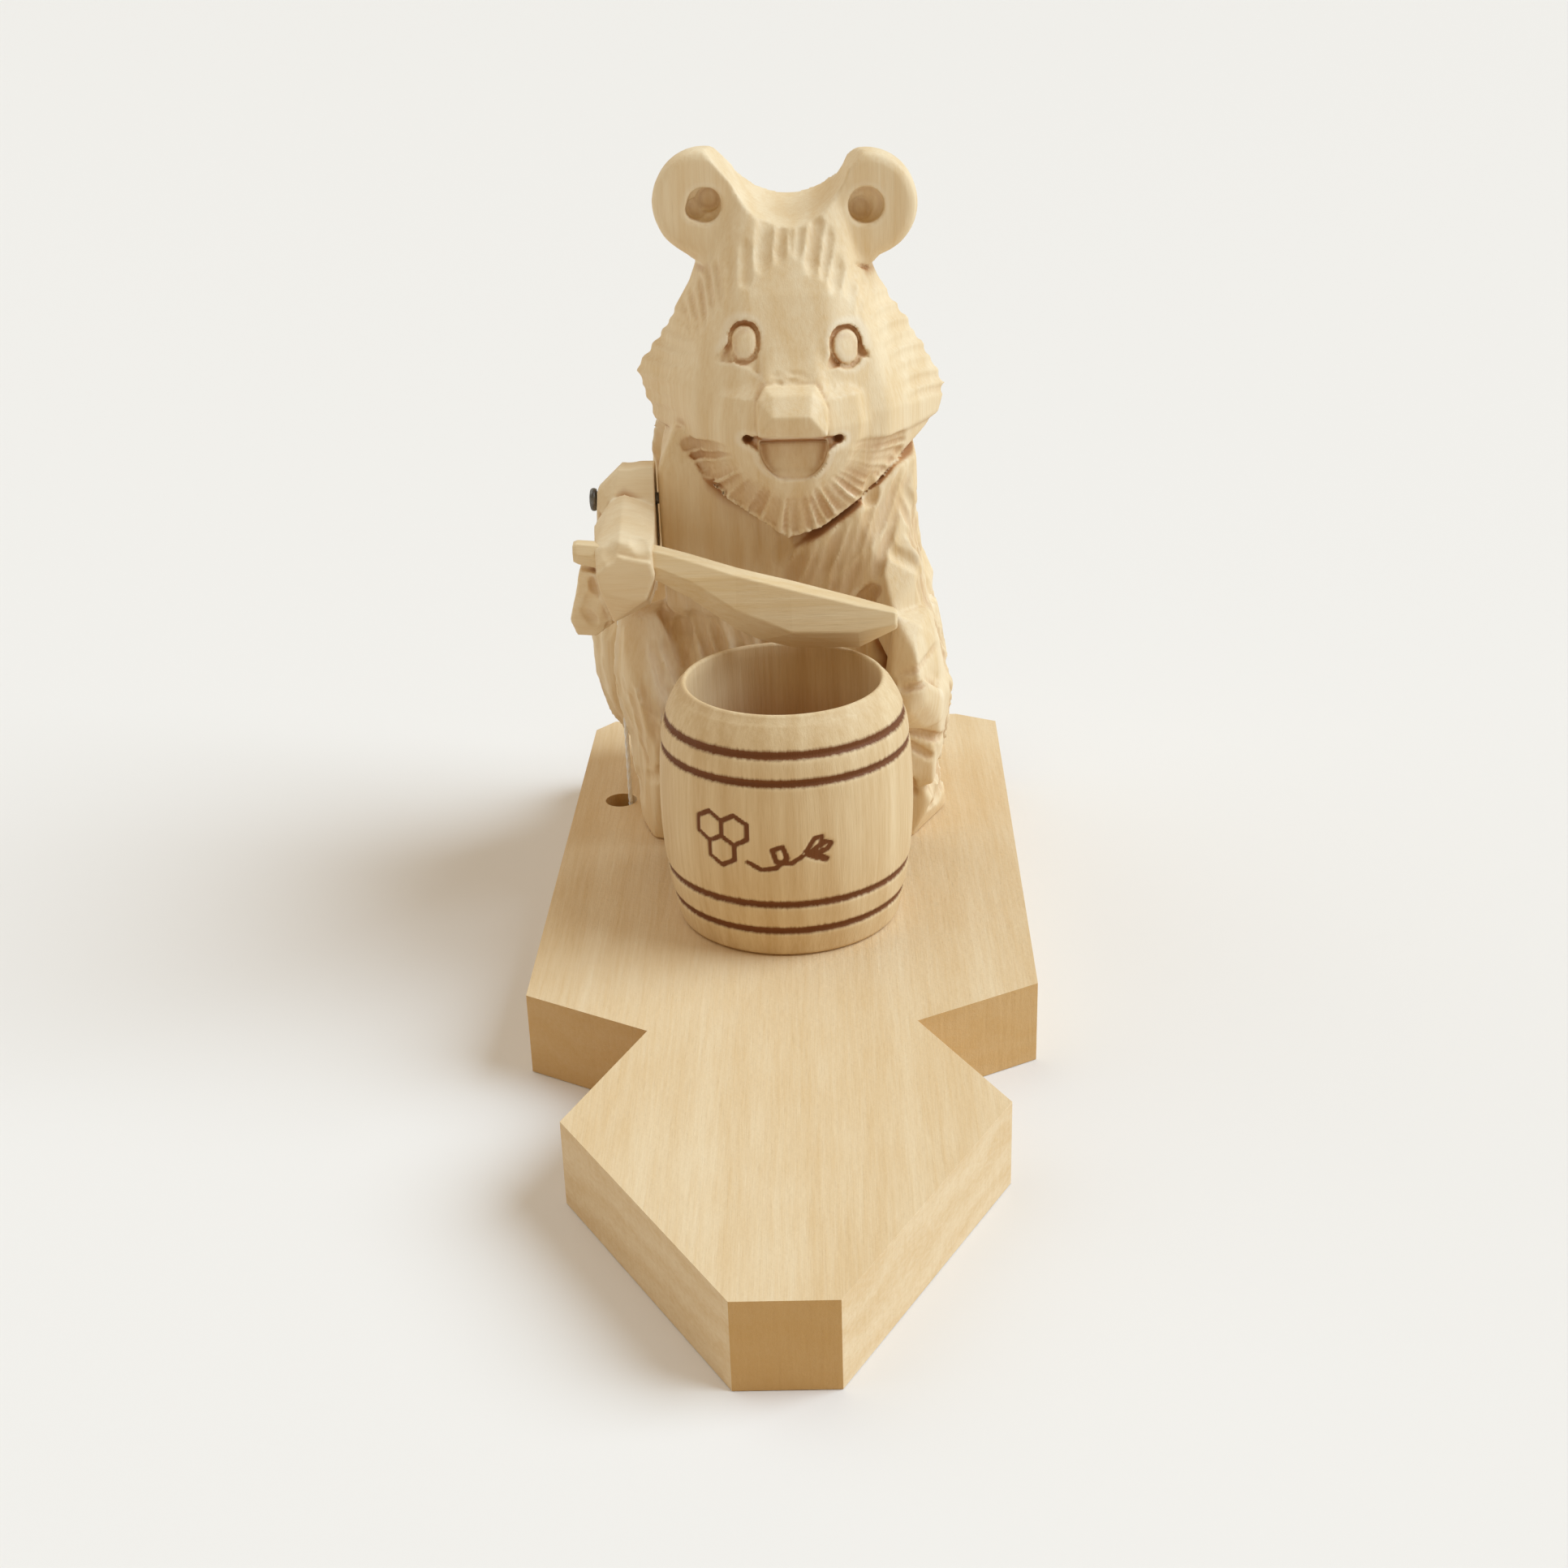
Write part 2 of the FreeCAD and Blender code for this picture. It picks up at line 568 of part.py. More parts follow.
side_slab = arm_slab("arm_side_slab", "YZ_Plane", "side", 1, "arm_outer", "- 1 * arm_outer")
front_slab = arm_slab("arm_front_slab", "XZ_Plane", "front", -1, "60", "- 90")
arm_blank = join("MultiCommon", "arm_blank", Shapes=[side_slab, front_slab])
pivot_bore = primitive("Cylinder", "pivot_bore", Radius="pivot_bore_dia / 2", Height="arm_outer")
place(pivot_bore, "- 1 * arm_outer", "pivot_back", "pivot_up", (0, 90, 0))
tail_bore = primitive("Cylinder", "tail_bore", Radius="tail_bore_dia / 2", Height="20")
place(tail_bore, "- 1 * thread_left", "thread_back", "thread_top - 10")
arm_cuts = join("MultiFuse", "arm_cuts", Shapes=[pivot_bore, tail_bore, spoon])
arm = join("Cut", "right_arm", Base=arm_blank, Tool=arm_cuts)


# ---------------------------------------------------------------- nails

def nail(label, shank_long, right, back, up, turn):
    """A round-headed wire nail that points along its own +Z, head first."""
    head = primitive("Cylinder", f"{label}_head", Radius="nail_head_dia / 2",
                     Height="nail_head_thick")
    shank = primitive("Cylinder", f"{label}_shank", Radius="nail_dia / 2",
                      Height=f"nail_head_thick + {shank_long}")
    place(head, turn=(0, 0, 0))
    place(shank, turn=(0, 0, 0))
    whole = join("MultiFuse", label, Shapes=[head, shank])
    return place(whole, right, back, up, turn)


nails = [nail("shoulder_nail", "shoulder_nail_long", "- 1 * pivot_face - 0.3 - nail_head_thick",
              "pivot_back", "pivot_up", (0, 90, 0))]
for label, back in NAIL_PLACES.items():
    length = "barrel_nail_long" if label == "barrel_nail" else "board_nail_long"
    nails.append(nail(label, f"{length} - 0.4", "barrel_right", back, "0.4", (0, 0, 0)))


# ---------------------------------------------------------------- thread, knots and ball

thread_upper = primitive("Cylinder", "thread_upper", Radius="thread_dia / 2",
                         Height="thread_top - board_thick")
place(thread_upper, "- 1 * thread_left", "thread_back", "board_thick")

route, arc_radii = smooth_route(THREAD_ROUTE)
print("thread_lower length", round(route.Length, 1), "mm, arc radii",
      [round(radius, 1) for radius in arc_radii])
start = V(*THREAD_ROUTE[0])
ring = Part.Wire(Part.makeCircle(DIMENSIONS["thread_dia"] / 2, start, V(0, 0, -1)))
thread_lower = doc.addObject("Part::Feature", "thread_lower")
thread_lower.Shape = route.makePipeShell([ring], True, False)

arm_knot = primitive("Sphere", "arm_knot", Radius="knot_dia / 2")
place(arm_knot, "- 1 * thread_left", "thread_back", "thread_top + knot_dia / 2")

ball_solid = primitive("Sphere", "ball_turning", Radius="ball_dia / 2")
# the sphere is turned so that its seam stays clear of the bore
place(ball_solid, "ball_right", "ball_back", "ball_dia / 2", (90, 0, 0))
ball_bore = primitive("Cylinder", "ball_bore", Radius="ball_bore_dia / 2", Height="ball_dia + 2")
place(ball_bore, "ball_right - ball_dia / 2 - 1", "ball_back", "ball_dia / 2", (0, 90, 0))
ball = join("Cut", "pendulum_ball", Base=ball_solid, Tool=ball_bore)
ball_knot = primitive("Sphere", "ball_knot", Radius="knot_dia / 2")
place(ball_knot, "ball_right + ball_dia / 2 + knot_dia / 2 - 0.4", "ball_back", "ball_dia / 2")


# ---------------------------------------------------------------- check and export

NODES = [board, barrel, bear, arm, spoon, thread_upper, thread_lower, arm_knot, ball, ball_knot]
NODES += nails
doc.recompute()
for item in doc.Objects:
    if "Invalid" in item.State or "Error" in item.State:
        raise RuntimeError(f"{item.Label} did not compute: {item.State}")
for node in NODES:
    if node.Shape.isNull() or not node.Shape.isValid():
        raise RuntimeError(f"{node.Label} has no valid shape")
    size = node.Shape.BoundBox
    print(node.Label, "solids", len(node.Shape.Solids), "volume", round(node.Shape.Volume, 1),
          "box", [round(value, 1) for value in
                  (size.XMin, size.YMin, size.ZMin, size.XMax, size.YMax, size.ZMax)])
    node.Shape.exportStep(f"parts/{node.Label}.step")
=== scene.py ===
import math

import bmesh
import bpy
import numpy as np
from mathutils import Matrix, Vector


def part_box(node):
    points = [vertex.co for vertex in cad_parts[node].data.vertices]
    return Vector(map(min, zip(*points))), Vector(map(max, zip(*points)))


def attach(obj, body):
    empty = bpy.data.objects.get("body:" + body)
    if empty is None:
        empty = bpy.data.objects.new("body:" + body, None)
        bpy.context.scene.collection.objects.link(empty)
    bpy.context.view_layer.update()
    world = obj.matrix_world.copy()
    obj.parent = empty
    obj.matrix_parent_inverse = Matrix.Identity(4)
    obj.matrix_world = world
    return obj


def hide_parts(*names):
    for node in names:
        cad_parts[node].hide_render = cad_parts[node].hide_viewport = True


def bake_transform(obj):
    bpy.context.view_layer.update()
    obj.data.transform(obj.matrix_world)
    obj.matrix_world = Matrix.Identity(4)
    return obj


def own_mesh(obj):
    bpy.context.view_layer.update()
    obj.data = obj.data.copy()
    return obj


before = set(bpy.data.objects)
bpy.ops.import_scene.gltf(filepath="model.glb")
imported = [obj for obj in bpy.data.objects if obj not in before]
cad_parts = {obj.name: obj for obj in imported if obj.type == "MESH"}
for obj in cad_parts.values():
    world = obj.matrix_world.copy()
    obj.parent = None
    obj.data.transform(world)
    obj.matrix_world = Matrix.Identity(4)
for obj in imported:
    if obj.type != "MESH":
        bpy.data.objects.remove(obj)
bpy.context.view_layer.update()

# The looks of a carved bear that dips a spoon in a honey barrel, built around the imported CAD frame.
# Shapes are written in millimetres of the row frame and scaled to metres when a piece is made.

MM = 0.001
BOARD_TOP = 14.2
THREAD_AT = (-30.5, 73.5)          # across and back, of the upper thread
PIVOT_AT = (60.0, 78.5)            # back and up, of the arm's nail


# ---------------------------------------------------------------- node materials

class Finish:
    """Builds one procedural material; every helper adds a node and returns its output."""

    def __init__(self, name):
        self.material = bpy.data.materials.new(name)
        self.material.use_nodes = True
        self.tree = self.material.node_tree
        self.shader = self.tree.nodes["Principled BSDF"]
        self.place = self.add("ShaderNodeTexCoord").outputs["Object"]

    def add(self, kind, inputs=None, **settings):
        node = self.tree.nodes.new(kind)
        for key, value in settings.items():
            setattr(node, key, value)
        for key, value in (inputs or {}).items():
            self.feed(node.inputs[key], value)
        return node

    def feed(self, socket, value):
        if isinstance(value, bpy.types.NodeSocket):
            self.tree.links.new(value, socket)
        else:
            socket.default_value = value

    def stretch(self, scale):
        return self.add("ShaderNodeMapping", {"Vector": self.place, "Scale": scale}).outputs["Vector"]

    def noise(self, scale, stretch, detail, rough):
        node = self.add("ShaderNodeTexNoise", {"Vector": self.stretch(stretch), "Scale": scale,
                                               "Detail": detail, "Roughness": rough})
        return node.outputs["Fac"]

    def bands(self, scale, stretch, warp, detail=2.0, direction="X"):
        node = self.add("ShaderNodeTexWave", {"Vector": self.stretch(stretch), "Scale": scale,
                                              "Distortion": warp, "Detail": detail,
                                              "Detail Scale": 1.5},
                        bands_direction=direction)
        return node.outputs["Fac"]

    def attribute(self, name):
        return self.add("ShaderNodeAttribute", attribute_name=name).outputs["Fac"]

    def facing(self, axis):
        """How far the surface faces along one of the piece's own axes, from -1 to 1."""
        normal = self.add("ShaderNodeTexCoord").outputs["Normal"]
        return self.add("ShaderNodeSeparateXYZ", {"Vector": normal}).outputs[axis]

    def ramp(self, value, low, high, out_low=0.0, out_high=1.0):
        node = self.add("ShaderNodeMapRange", {"Value": value, "From Min": low, "From Max": high,
                                               "To Min": out_low, "To Max": out_high})
        return node.outputs["Result"]

    def math(self, operation, first, second):
        node = self.add("ShaderNodeMath", operation=operation)
        self.feed(node.inputs[0], first)
        self.feed(node.inputs[1], second)
        return node.outputs["Value"]

    def mix(self, share, first, second):
        node = self.add("ShaderNodeMix", data_type="RGBA")
        for socket, value in ((node.inputs[0], share), (node.inputs[6], first), (node.inputs[7], second)):
            self.feed(socket, (*value, 1.0) if isinstance(value, tuple) else value)
        return node.outputs[2]

    def bump(self, height, distance, strength=1.0, under=None):
        inputs = {"Height": height, "Distance": distance, "Strength": strength}
        if under is not None:
            inputs["Normal"] = under
        return self.add("ShaderNodeBump", inputs).outputs["Normal"]

    def finish(self, **sockets):
        for name, value in sockets.items():
            self.feed(self.shader.inputs[name.replace("_", " ")], value)
        return self.material


def wood(name, pale, deep, grain, fibre=1.0, painted_shade=None, scorch=None, cut=0.0, end=None):
    """Linden wood with its fibres along one axis. With painted_shade set, cuts and recesses get painted shade
    in that colour and ridges get paler, partly as wear and partly as painted highlight; end is the end
    grain's colour.
    """
    finish = Finish(name)
    along = [1.0, 1.0, 1.0]
    along[grain] = 0.045
    along = tuple(along)
    across = "XYZ"[(grain + 1) % 3]
    rings = finish.bands(55.0, along, 9.0, 3.0, across)
    fibres = finish.noise(1500.0, along, 4.0, 0.65)
    pores = finish.noise(5200.0, along, 2.0, 0.6)
    cloud = finish.noise(38.0, (1, 1, 1), 3.0, 0.55)
    tone = finish.math("ADD", finish.math("MULTIPLY", rings, 0.16 * fibre),
                       finish.math("MULTIPLY", fibres, 0.55 * fibre))
    tone = finish.math("ADD", tone, finish.math("MULTIPLY", cloud, 0.42))
    colour = finish.mix(finish.ramp(tone, 0.25, 0.85), pale, deep)
    flecks = finish.ramp(pores, 0.62, 0.78, 0.0, 0.16 * fibre)
    colour = finish.mix(flecks, colour, tuple(0.55 * c for c in deep))
    if end is not None:
        facing = finish.math("ABSOLUTE", finish.facing(grain), 0.0)
        colour = finish.mix(finish.ramp(facing, 0.55, 0.95, 0.0, 0.85), colour, end)
    if painted_shade is not None:
        # painted shade: cuts and recesses are darkened towards the painted_shade colour
        shade = finish.ramp(finish.attribute("painted_shade"), 0.0, 1.0, 0.0, 0.85)
        colour = finish.mix(shade, colour, painted_shade)
        # ridges made paler: partly wear and partly painted highlight
        wear_and_highlight_mask = finish.ramp(finish.attribute("ridge"), 0.1, 0.9, 0.0, 0.3)
        colour = finish.mix(wear_and_highlight_mask, colour, (0.94, 0.86, 0.71))
    if scorch is not None:
        edge = finish.math("ADD", finish.attribute("burn"), finish.ramp(fibres, 0.3, 0.7, -0.16, 0.16))
        colour = finish.mix(finish.ramp(edge, 0.25, 0.8), colour, scorch)
    roughness = finish.ramp(fibres, 0.3, 0.7, 0.56, 0.72)
    height = finish.math("ADD", finish.math("MULTIPLY", fibres, 0.7),
                         finish.math("MULTIPLY", pores, 0.45))
    normal = finish.bump(height, 0.00012, 0.55 * fibre)
    if cut:
        saw = finish.noise(900.0, (1.0, 1.0, 0.12), 2.0, 0.5)
        normal = finish.bump(saw, 0.0003, cut, normal)
    return finish.finish(Base_Color=colour, Roughness=roughness, Normal=normal,
                         Specular_IOR_Level=0.32)


PALE = (0.86, 0.71, 0.48)
DEEP = (0.71, 0.49, 0.24)
# the painted_shade colours below are painted shade for cuts and recesses
bear_wood = wood("bear_linden", PALE, DEEP, 2, painted_shade=(0.42, 0.17, 0.045))
board_wood = wood("board_linden", (0.81, 0.64, 0.41), (0.69, 0.48, 0.25), 1, fibre=1.2, cut=0.4,
                  end=(0.56, 0.31, 0.09))
barrel_wood = wood("barrel_linden", (0.81, 0.63, 0.38), (0.65, 0.45, 0.23), 2, fibre=1.35,
                   painted_shade=(0.38, 0.11, 0.006), scorch=(0.17, 0.052, 0.009))
arm_wood = wood("arm_linden", PALE, DEEP, 0, fibre=0.8, painted_shade=(0.42, 0.17, 0.045))
spoon_wood = wood("spoon_linden", (0.84, 0.68, 0.44), (0.70, 0.49, 0.24), 0, fibre=1.1)
ball_wood = wood("ball_linden", (0.80, 0.64, 0.43), (0.64, 0.46, 0.26), 0, fibre=1.3)


def cotton(name):
    finish = Finish(name)
    fuzz = finish.noise(9000.0, (1, 1, 1), 3.0, 0.7)
    colour = finish.mix(finish.ramp(fuzz, 0.3, 0.7), (0.80, 0.77, 0.71), (0.93, 0.91, 0.87))
    return finish.finish(Base_Color=colour, Roughness=0.92, Specular_IOR_Level=0.15,
                         Sheen_Weight=0.35, Normal=finish.bump(fuzz, 0.00006, 0.7))


def steel(name):
    finish = Finish(name)
    marks = finish.noise(2600.0, (1, 1, 1), 4.0, 0.7)
    stain = finish.noise(700.0, (1, 1, 1), 2.0, 0.5)
    colour = finish.mix(finish.ramp(stain, 0.4, 0.65), (0.20, 0.19, 0.17), (0.10, 0.085, 0.07))
    return finish.finish(Base_Color=colour, Metallic=0.85, Roughness=finish.ramp(marks, 0.3, 0.7, 0.3, 0.55),
                         Normal=finish.bump(marks, 0.00005, 0.6))


thread_cotton = cotton("thread_cotton")
nail_steel = steel("nail_steel")


# ---------------------------------------------------------------- pieces

def piece(name, corners, faces, body, material, node, smooth=True, attributes=None):
    """Makes a mesh piece from millimetre corners, in place of a CAD node, and rides it on a body."""
    mesh = bpy.data.meshes.new(name)
    mesh.from_pydata((np.asarray(corners, float) * MM).tolist(), [], [list(map(int, f)) for f in faces])
    for key, values in (attributes or {}).items():
        mesh.attributes.new(key, "FLOAT", "POINT").data.foreach_set("value", values.astype(np.float32))
    mesh.polygons.foreach_set("use_smooth", [smooth] * len(mesh.polygons))
    mesh.materials.append(material)
    mesh.update()
    thing = bpy.data.objects.new(name, mesh)
    bpy.context.scene.collection.objects.link(thing)
    if body:
        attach(thing, body)
    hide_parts(node)
    return thing


def bevel(thing, width, segments, sharper_than):
    """Rounds the edges of a piece's mesh that turn by more than some degrees."""
    modifier = thing.modifiers.new("bevel", "BEVEL")
    modifier.width = width * MM
    modifier.segments = segments
    modifier.angle_limit = math.radians(sharper_than)
    graph = bpy.context.evaluated_depsgraph_get()
    mesh = bpy.data.meshes.new_from_object(thing.evaluated_get(graph))
    thing.modifiers.clear()
    thing.data = mesh


def lathe(profile, around):
    """Corners and faces of a closed turning about Z: profile is (radius, height) from axis to axis."""
    corners = [(0.0, 0.0, profile[0][1])]
    for radius, up in profile[1:-1]:
        for turn in range(around):
            angle = 2 * math.pi * turn / around
            corners.append((radius * math.cos(angle), radius * math.sin(angle), up))
    corners.append((0.0, 0.0, profile[-1][1]))
    rows = len(profile) - 2
    faces = []
    for turn in range(around):
        after = (turn + 1) % around
        faces.append((0, 1 + after, 1 + turn))
        for row in range(rows - 1):
            a, b = 1 + row * around, 1 + (row + 1) * around
            faces.append((a + turn, a + after, b + after, b + turn))
        last = 1 + (rows - 1) * around
        faces.append((last + turn, last + after, len(corners) - 1))
    return np.array(corners), faces


# ---------------------------------------------------------------- solids on a grid, for knife and gouge work

def soft_max(a, b, k):
    if k <= 0:
        return np.maximum(a, b)
    return np.maximum(a, b) + np.maximum(k - np.abs(a - b), 0) ** 2 / (4 * k)


def soft_min(a, b, k):
    return -soft_max(-a, -b, k)


def tower(sections, soft):
    """An upright convex form whose outline changes with height; each section is (up, corners)."""
    heights = [up for up, _ in sections]
    outlines = np.array([outline for _, outline in sections], float)
    first = outlines[len(outlines) // 2]
    following = np.roll(first, -1, axis=0)
    if (first[:, 0] * following[:, 1] - following[:, 0] * first[:, 1]).sum() < 0:
        outlines = outlines[:, ::-1]

    def distance(x, y, z):
        tracks = [[np.interp(z.ravel(), heights,
                             outlines[:, corner, part]).reshape(1, 1, -1) for part in (0, 1)]
                  for corner in range(outlines.shape[1])]
        result = np.maximum(heights[0] - z, z - heights[-1]) + 0 * (x + y)
        for (ax, ay), (bx, by) in zip(tracks, tracks[1:] + tracks[:1]):
            length = np.hypot(bx - ax, by - ay) + 1e-6
            result = soft_max(result, ((x - ax) * (by - ay) - (y - ay) * (bx - ax)) / length, soft)
        return result
    return distance


def rounded(knots, power=2.6, soft=1.0):
    """An upright form with oval sections; a knot is (up, left, right, front, back)."""
    table = np.array(knots, float)

    def distance(x, y, z):
        left, right, front, back = (np.interp(z.ravel(), table[:, 0], table[:, part]).reshape(1, 1, -1)
                                    for part in range(1, 5))
        wide, deep = (right - left) / 2, (back - front) / 2
        across = np.abs(x - (left + right) / 2) / wide
        along = np.abs(y - (front + back) / 2) / deep
        ring = ((across ** power + along ** power) ** (1 / power) - 1) * np.minimum(wide, deep)
        return soft_max(ring, np.maximum(table[0, 0] - z, z - table[-1, 0]), soft)
    return distance


def hull(points, soft=0.5):
    """The convex form through a few knife-cut corners."""
    work = bmesh.new()
    for point in points:
        work.verts.new(point)
    bmesh.ops.convex_hull(work, input=work.verts)
    centre = Vector(np.mean(points, axis=0))
    planes = {}
    for face in work.faces:
        normal = face.normal.copy()
        reach = normal.dot(face.verts[0].co)
        if normal.dot(centre) > reach:
            normal, reach = -normal, -reach
        planes[tuple(round(value, 2) for value in (*normal, reach))] = (normal, reach)
    work.free()

    def distance(x, y, z):
        result = -1e3
        for normal, reach in planes.values():
            result = soft_max(result + 0 * x, normal.x * x + normal.y * y + normal.z * z - reach, soft)
        return result
    return distance


def ball(centre, radii):
    centre, radii = np.array(centre, float), np.array(radii, float)

    def distance(x, y, z):
        size = np.sqrt(((x - centre[0]) / radii[0]) ** 2 + ((y - centre[1]) / radii[1]) ** 2
                       + ((z - centre[2]) / radii[2]) ** 2)
        return (size - 1) * radii.min()
    return distance


class Carving:
    """A solid on a grid: each value is about the distance in mm to the surface, negative inside.
    Strokes follow the guide, which is the field before any stroke, and spare, when it is set, lets
    them cut only where it is positive."""

    FAR = 6.0
    PACE, LEAP = 0.35, 0.9          # mm between tool places, and the rise at which a stroke stops
    SIDES = {"front": (1, 1), "back": (1, -1), "left": (0, 1), "right": (0, -1), "top": (2, -1)}

    def __init__(self, *axes):
        self.axes = [np.asarray(axis, float) for axis in axes]
        self.field = np.full([len(axis) for axis in self.axes], self.FAR, np.float32)
        self.guide = self.field
        self.spare = None

    def window(self, low, high):
        spans = tuple(slice(*np.searchsorted(axis, (a, b)))
                      for axis, a, b in zip(self.axes, low, high))
        grid = np.meshgrid(*(axis[span] for axis, span in zip(self.axes, spans)),
                           indexing="ij", sparse=True)
        return spans, grid

    def whole(self):
        return [axis[0] for axis in self.axes], [axis[-1] + 1 for axis in self.axes]

    def add(self, shape, low=None, high=None, soft=0.0):
        spans, grid = self.window(*(self.whole() if low is None else (low, high)))
        self.field[spans] = soft_min(self.field[spans], np.minimum(shape(*grid), self.FAR), soft)

    def cut(self, shape, low=None, high=None, soft=0.0):
        spans, grid = self.window(*(self.whole() if low is None else (low, high)))
        self.field[spans] = soft_max(self.field[spans], -shape(*grid), soft)

    def block(self, corners, soft, join, margin):
        """Adds the convex form through some corners."""
        reach = np.array(corners)
        self.add(hull(corners, soft), reach.min(0) - margin, reach.max(0) + margin, soft=join)

    def sample(self, points, field=None):
        """Trilinear values of the field at points."""
        field = self.field if field is None else field
        low, share = [], []
        for axis, values in zip(self.axes, np.asarray(points, float).T):
            place = np.clip(np.searchsorted(axis, values) - 1, 0, len(axis) - 2)
            low.append(place)
            share.append(np.clip((values - axis[place]) / (axis[place + 1] - axis[place]), 0, 1))
        total = 0
        for corner in range(8):
            bits = [(corner >> part) & 1 for part in range(3)]
            weight = 1.0
            for part, bit in enumerate(bits):
                weight = weight * (share[part] if bit else 1 - share[part])
            total = total + weight * field[tuple(low[part] + bits[part] for part in range(3))]
        return total

    def outward(self, points, reach=0.7, field=None):
        steps = np.eye(3) * reach
        slope = np.stack([self.sample(points + step, field) - self.sample(points - step, field)
                          for step in steps], 1)
        return slope / (np.linalg.norm(slope, axis=1, keepdims=True) + 1e-9)

    def find(self, side, u, v):
        """Where straight lines from one side meet the surface; nan where they miss it."""
        into, sign = self.SIDES[side]
        others = [part for part in range(3) if part != into]
        field = np.moveaxis(self.guide, into, 2)
        low, share = [], []
        for part, values in zip(others, (u, v)):
            axis = self.axes[part]
            place = np.clip(np.searchsorted(axis, values) - 1, 0, len(axis) - 2)
            low.append(place)
            share.append(np.clip((values - axis[place]) / (axis[place + 1] - axis[place]), 0, 1)[:, None])
        rows = sum((share[0] if i else 1 - share[0]) * (share[1] if j else 1 - share[1])
                   * field[low[0] + i, low[1] + j] for i in (0, 1) for j in (0, 1))
        line = self.axes[into]
        if sign < 0:
            rows, line = rows[:, ::-1], line[::-1]
        inside = rows < 0
        hit = inside.argmax(axis=1)
        good = inside.any(axis=1) & (hit > 0)
        hit = np.maximum(hit, 1)
        picks = np.arange(len(hit))
        before, after = rows[picks, hit - 1], rows[picks, hit]
        share = before / (before - after + 1e-9)
        depth = line[hit - 1] + share * (line[hit] - line[hit - 1])
        depth[~good] = np.nan
        points = np.empty((len(hit), 3))
        points[:, others[0]], points[:, others[1]], points[:, into] = u, v, depth
        return points

    def gouge(self, side, start, end, width, depth, bow=0.0, tail=0.35, entry=0.15):
        """One stroke of a round gouge, seen from a side, from start to end.
        The tool goes in over the entry share of the stroke and comes out over the tail share."""
        start, end = np.array(start, float), np.array(end, float)
        run = end - start
        length = np.hypot(*run)
        if length < 1.0:
            return
        into, sign = self.SIDES[side]
        count = 9
        for _ in range(2):
            t = np.linspace(0, 1, count)
            path = start + run * t[:, None] + np.array([-run[1], run[0]]) * (bow * np.sin(np.pi * t))[:, None]
            points = self.find(side, path[:, 0], path[:, 1])
            good = ~np.isnan(points[:, into])
            if good.sum() < 4:
                return
            travel = np.ptp(points[good, into])
            count = max(int(math.hypot(length, min(travel, 2 * length)) / self.PACE), 8)
        # the stroke stops where the surface ends or drops away
        leap = np.abs(np.diff(points[:, into], prepend=points[0, into])) > self.LEAP
        ends = np.flatnonzero(~good | leap)
        last = ends[0] if len(ends) else len(points)
        if last < 6:
            return
        points, t = points[:last], np.linspace(0, 1, last)
        normals = self.outward(points, 1.0, self.guide)
        for _ in range(3):
            normals = np.concatenate([normals[:1], (normals[:-2] + normals[1:-1] + normals[2:]) / 3,
                                      normals[-1:]])
        normals /= np.linalg.norm(normals, axis=1, keepdims=True) + 1e-9
        radius = width ** 2 / (8 * depth) + depth / 2
        sink = depth * np.clip(np.minimum((t + 0.001) / entry, (1 - t) / tail), 0, 1) ** 0.7
        reach = width / 2 + depth + 0.9
        for point, normal, deep in zip(points, normals, sink):
            if deep < 0.02 or -sign * normal[into] < 0.15:
                continue
            centre = point + normal * (radius - deep)
            spans, grid = self.window(point - reach, point + reach)
            gap = radius - np.sqrt((grid[0] - centre[0]) ** 2 + (grid[1] - centre[1]) ** 2
                                   + (grid[2] - centre[2]) ** 2)
            if self.spare is not None:
                gap = np.minimum(gap, self.spare(*grid))
            self.field[spans] = np.maximum(self.field[spans], gap)

    def net(self):
        """The surface as corners and quads."""
        field, sizes = self.field, np.array(self.field.shape) - 1
        inside = field < 0
        cells, points, quads = [], [], []
        for axis in range(3):
            ahead, behind = [slice(None)] * 3, [slice(None)] * 3
            ahead[axis], behind[axis] = slice(1, None), slice(None, -1)
            ahead, behind = tuple(ahead), tuple(behind)
            place = np.argwhere(inside[behind] != inside[ahead])
            b, c = (axis + 1) % 3, (axis + 2) % 3
            keep = ((place[:, b] > 0) & (place[:, b] < sizes[b])
                    & (place[:, c] > 0) & (place[:, c] < sizes[c]))
            place = place[keep]
            near = field[tuple(place.T)]
            beyond = place.copy()
            beyond[:, axis] += 1
            far = field[tuple(beyond.T)]
            point = np.stack([self.axes[part][place[:, part]] for part in range(3)], 1)
            step = self.axes[axis][beyond[:, axis]] - self.axes[axis][place[:, axis]]
            point[:, axis] += step * near / (near - far)
            loop = []
            for back_b, back_c in ((1, 1), (0, 1), (0, 0), (1, 0)):
                cell = place.copy()
                cell[:, b] -= back_b
                cell[:, c] -= back_c
                loop.append((cell[:, 0] * sizes[1] + cell[:, 1]) * sizes[2] + cell[:, 2])
                cells.append(loop[-1])
                points.append(point)
            loop = np.stack(loop, 1)
            loop[near >= 0] = loop[near >= 0][:, ::-1]
            quads.append(loop)
        ids, spread = np.unique(np.concatenate(cells), return_inverse=True)
        points = np.concatenate(points)
        count = np.bincount(spread)
        corners = np.stack([np.bincount(spread, points[:, part]) / count for part in range(3)], 1)
        return corners, np.searchsorted(ids, np.concatenate(quads))

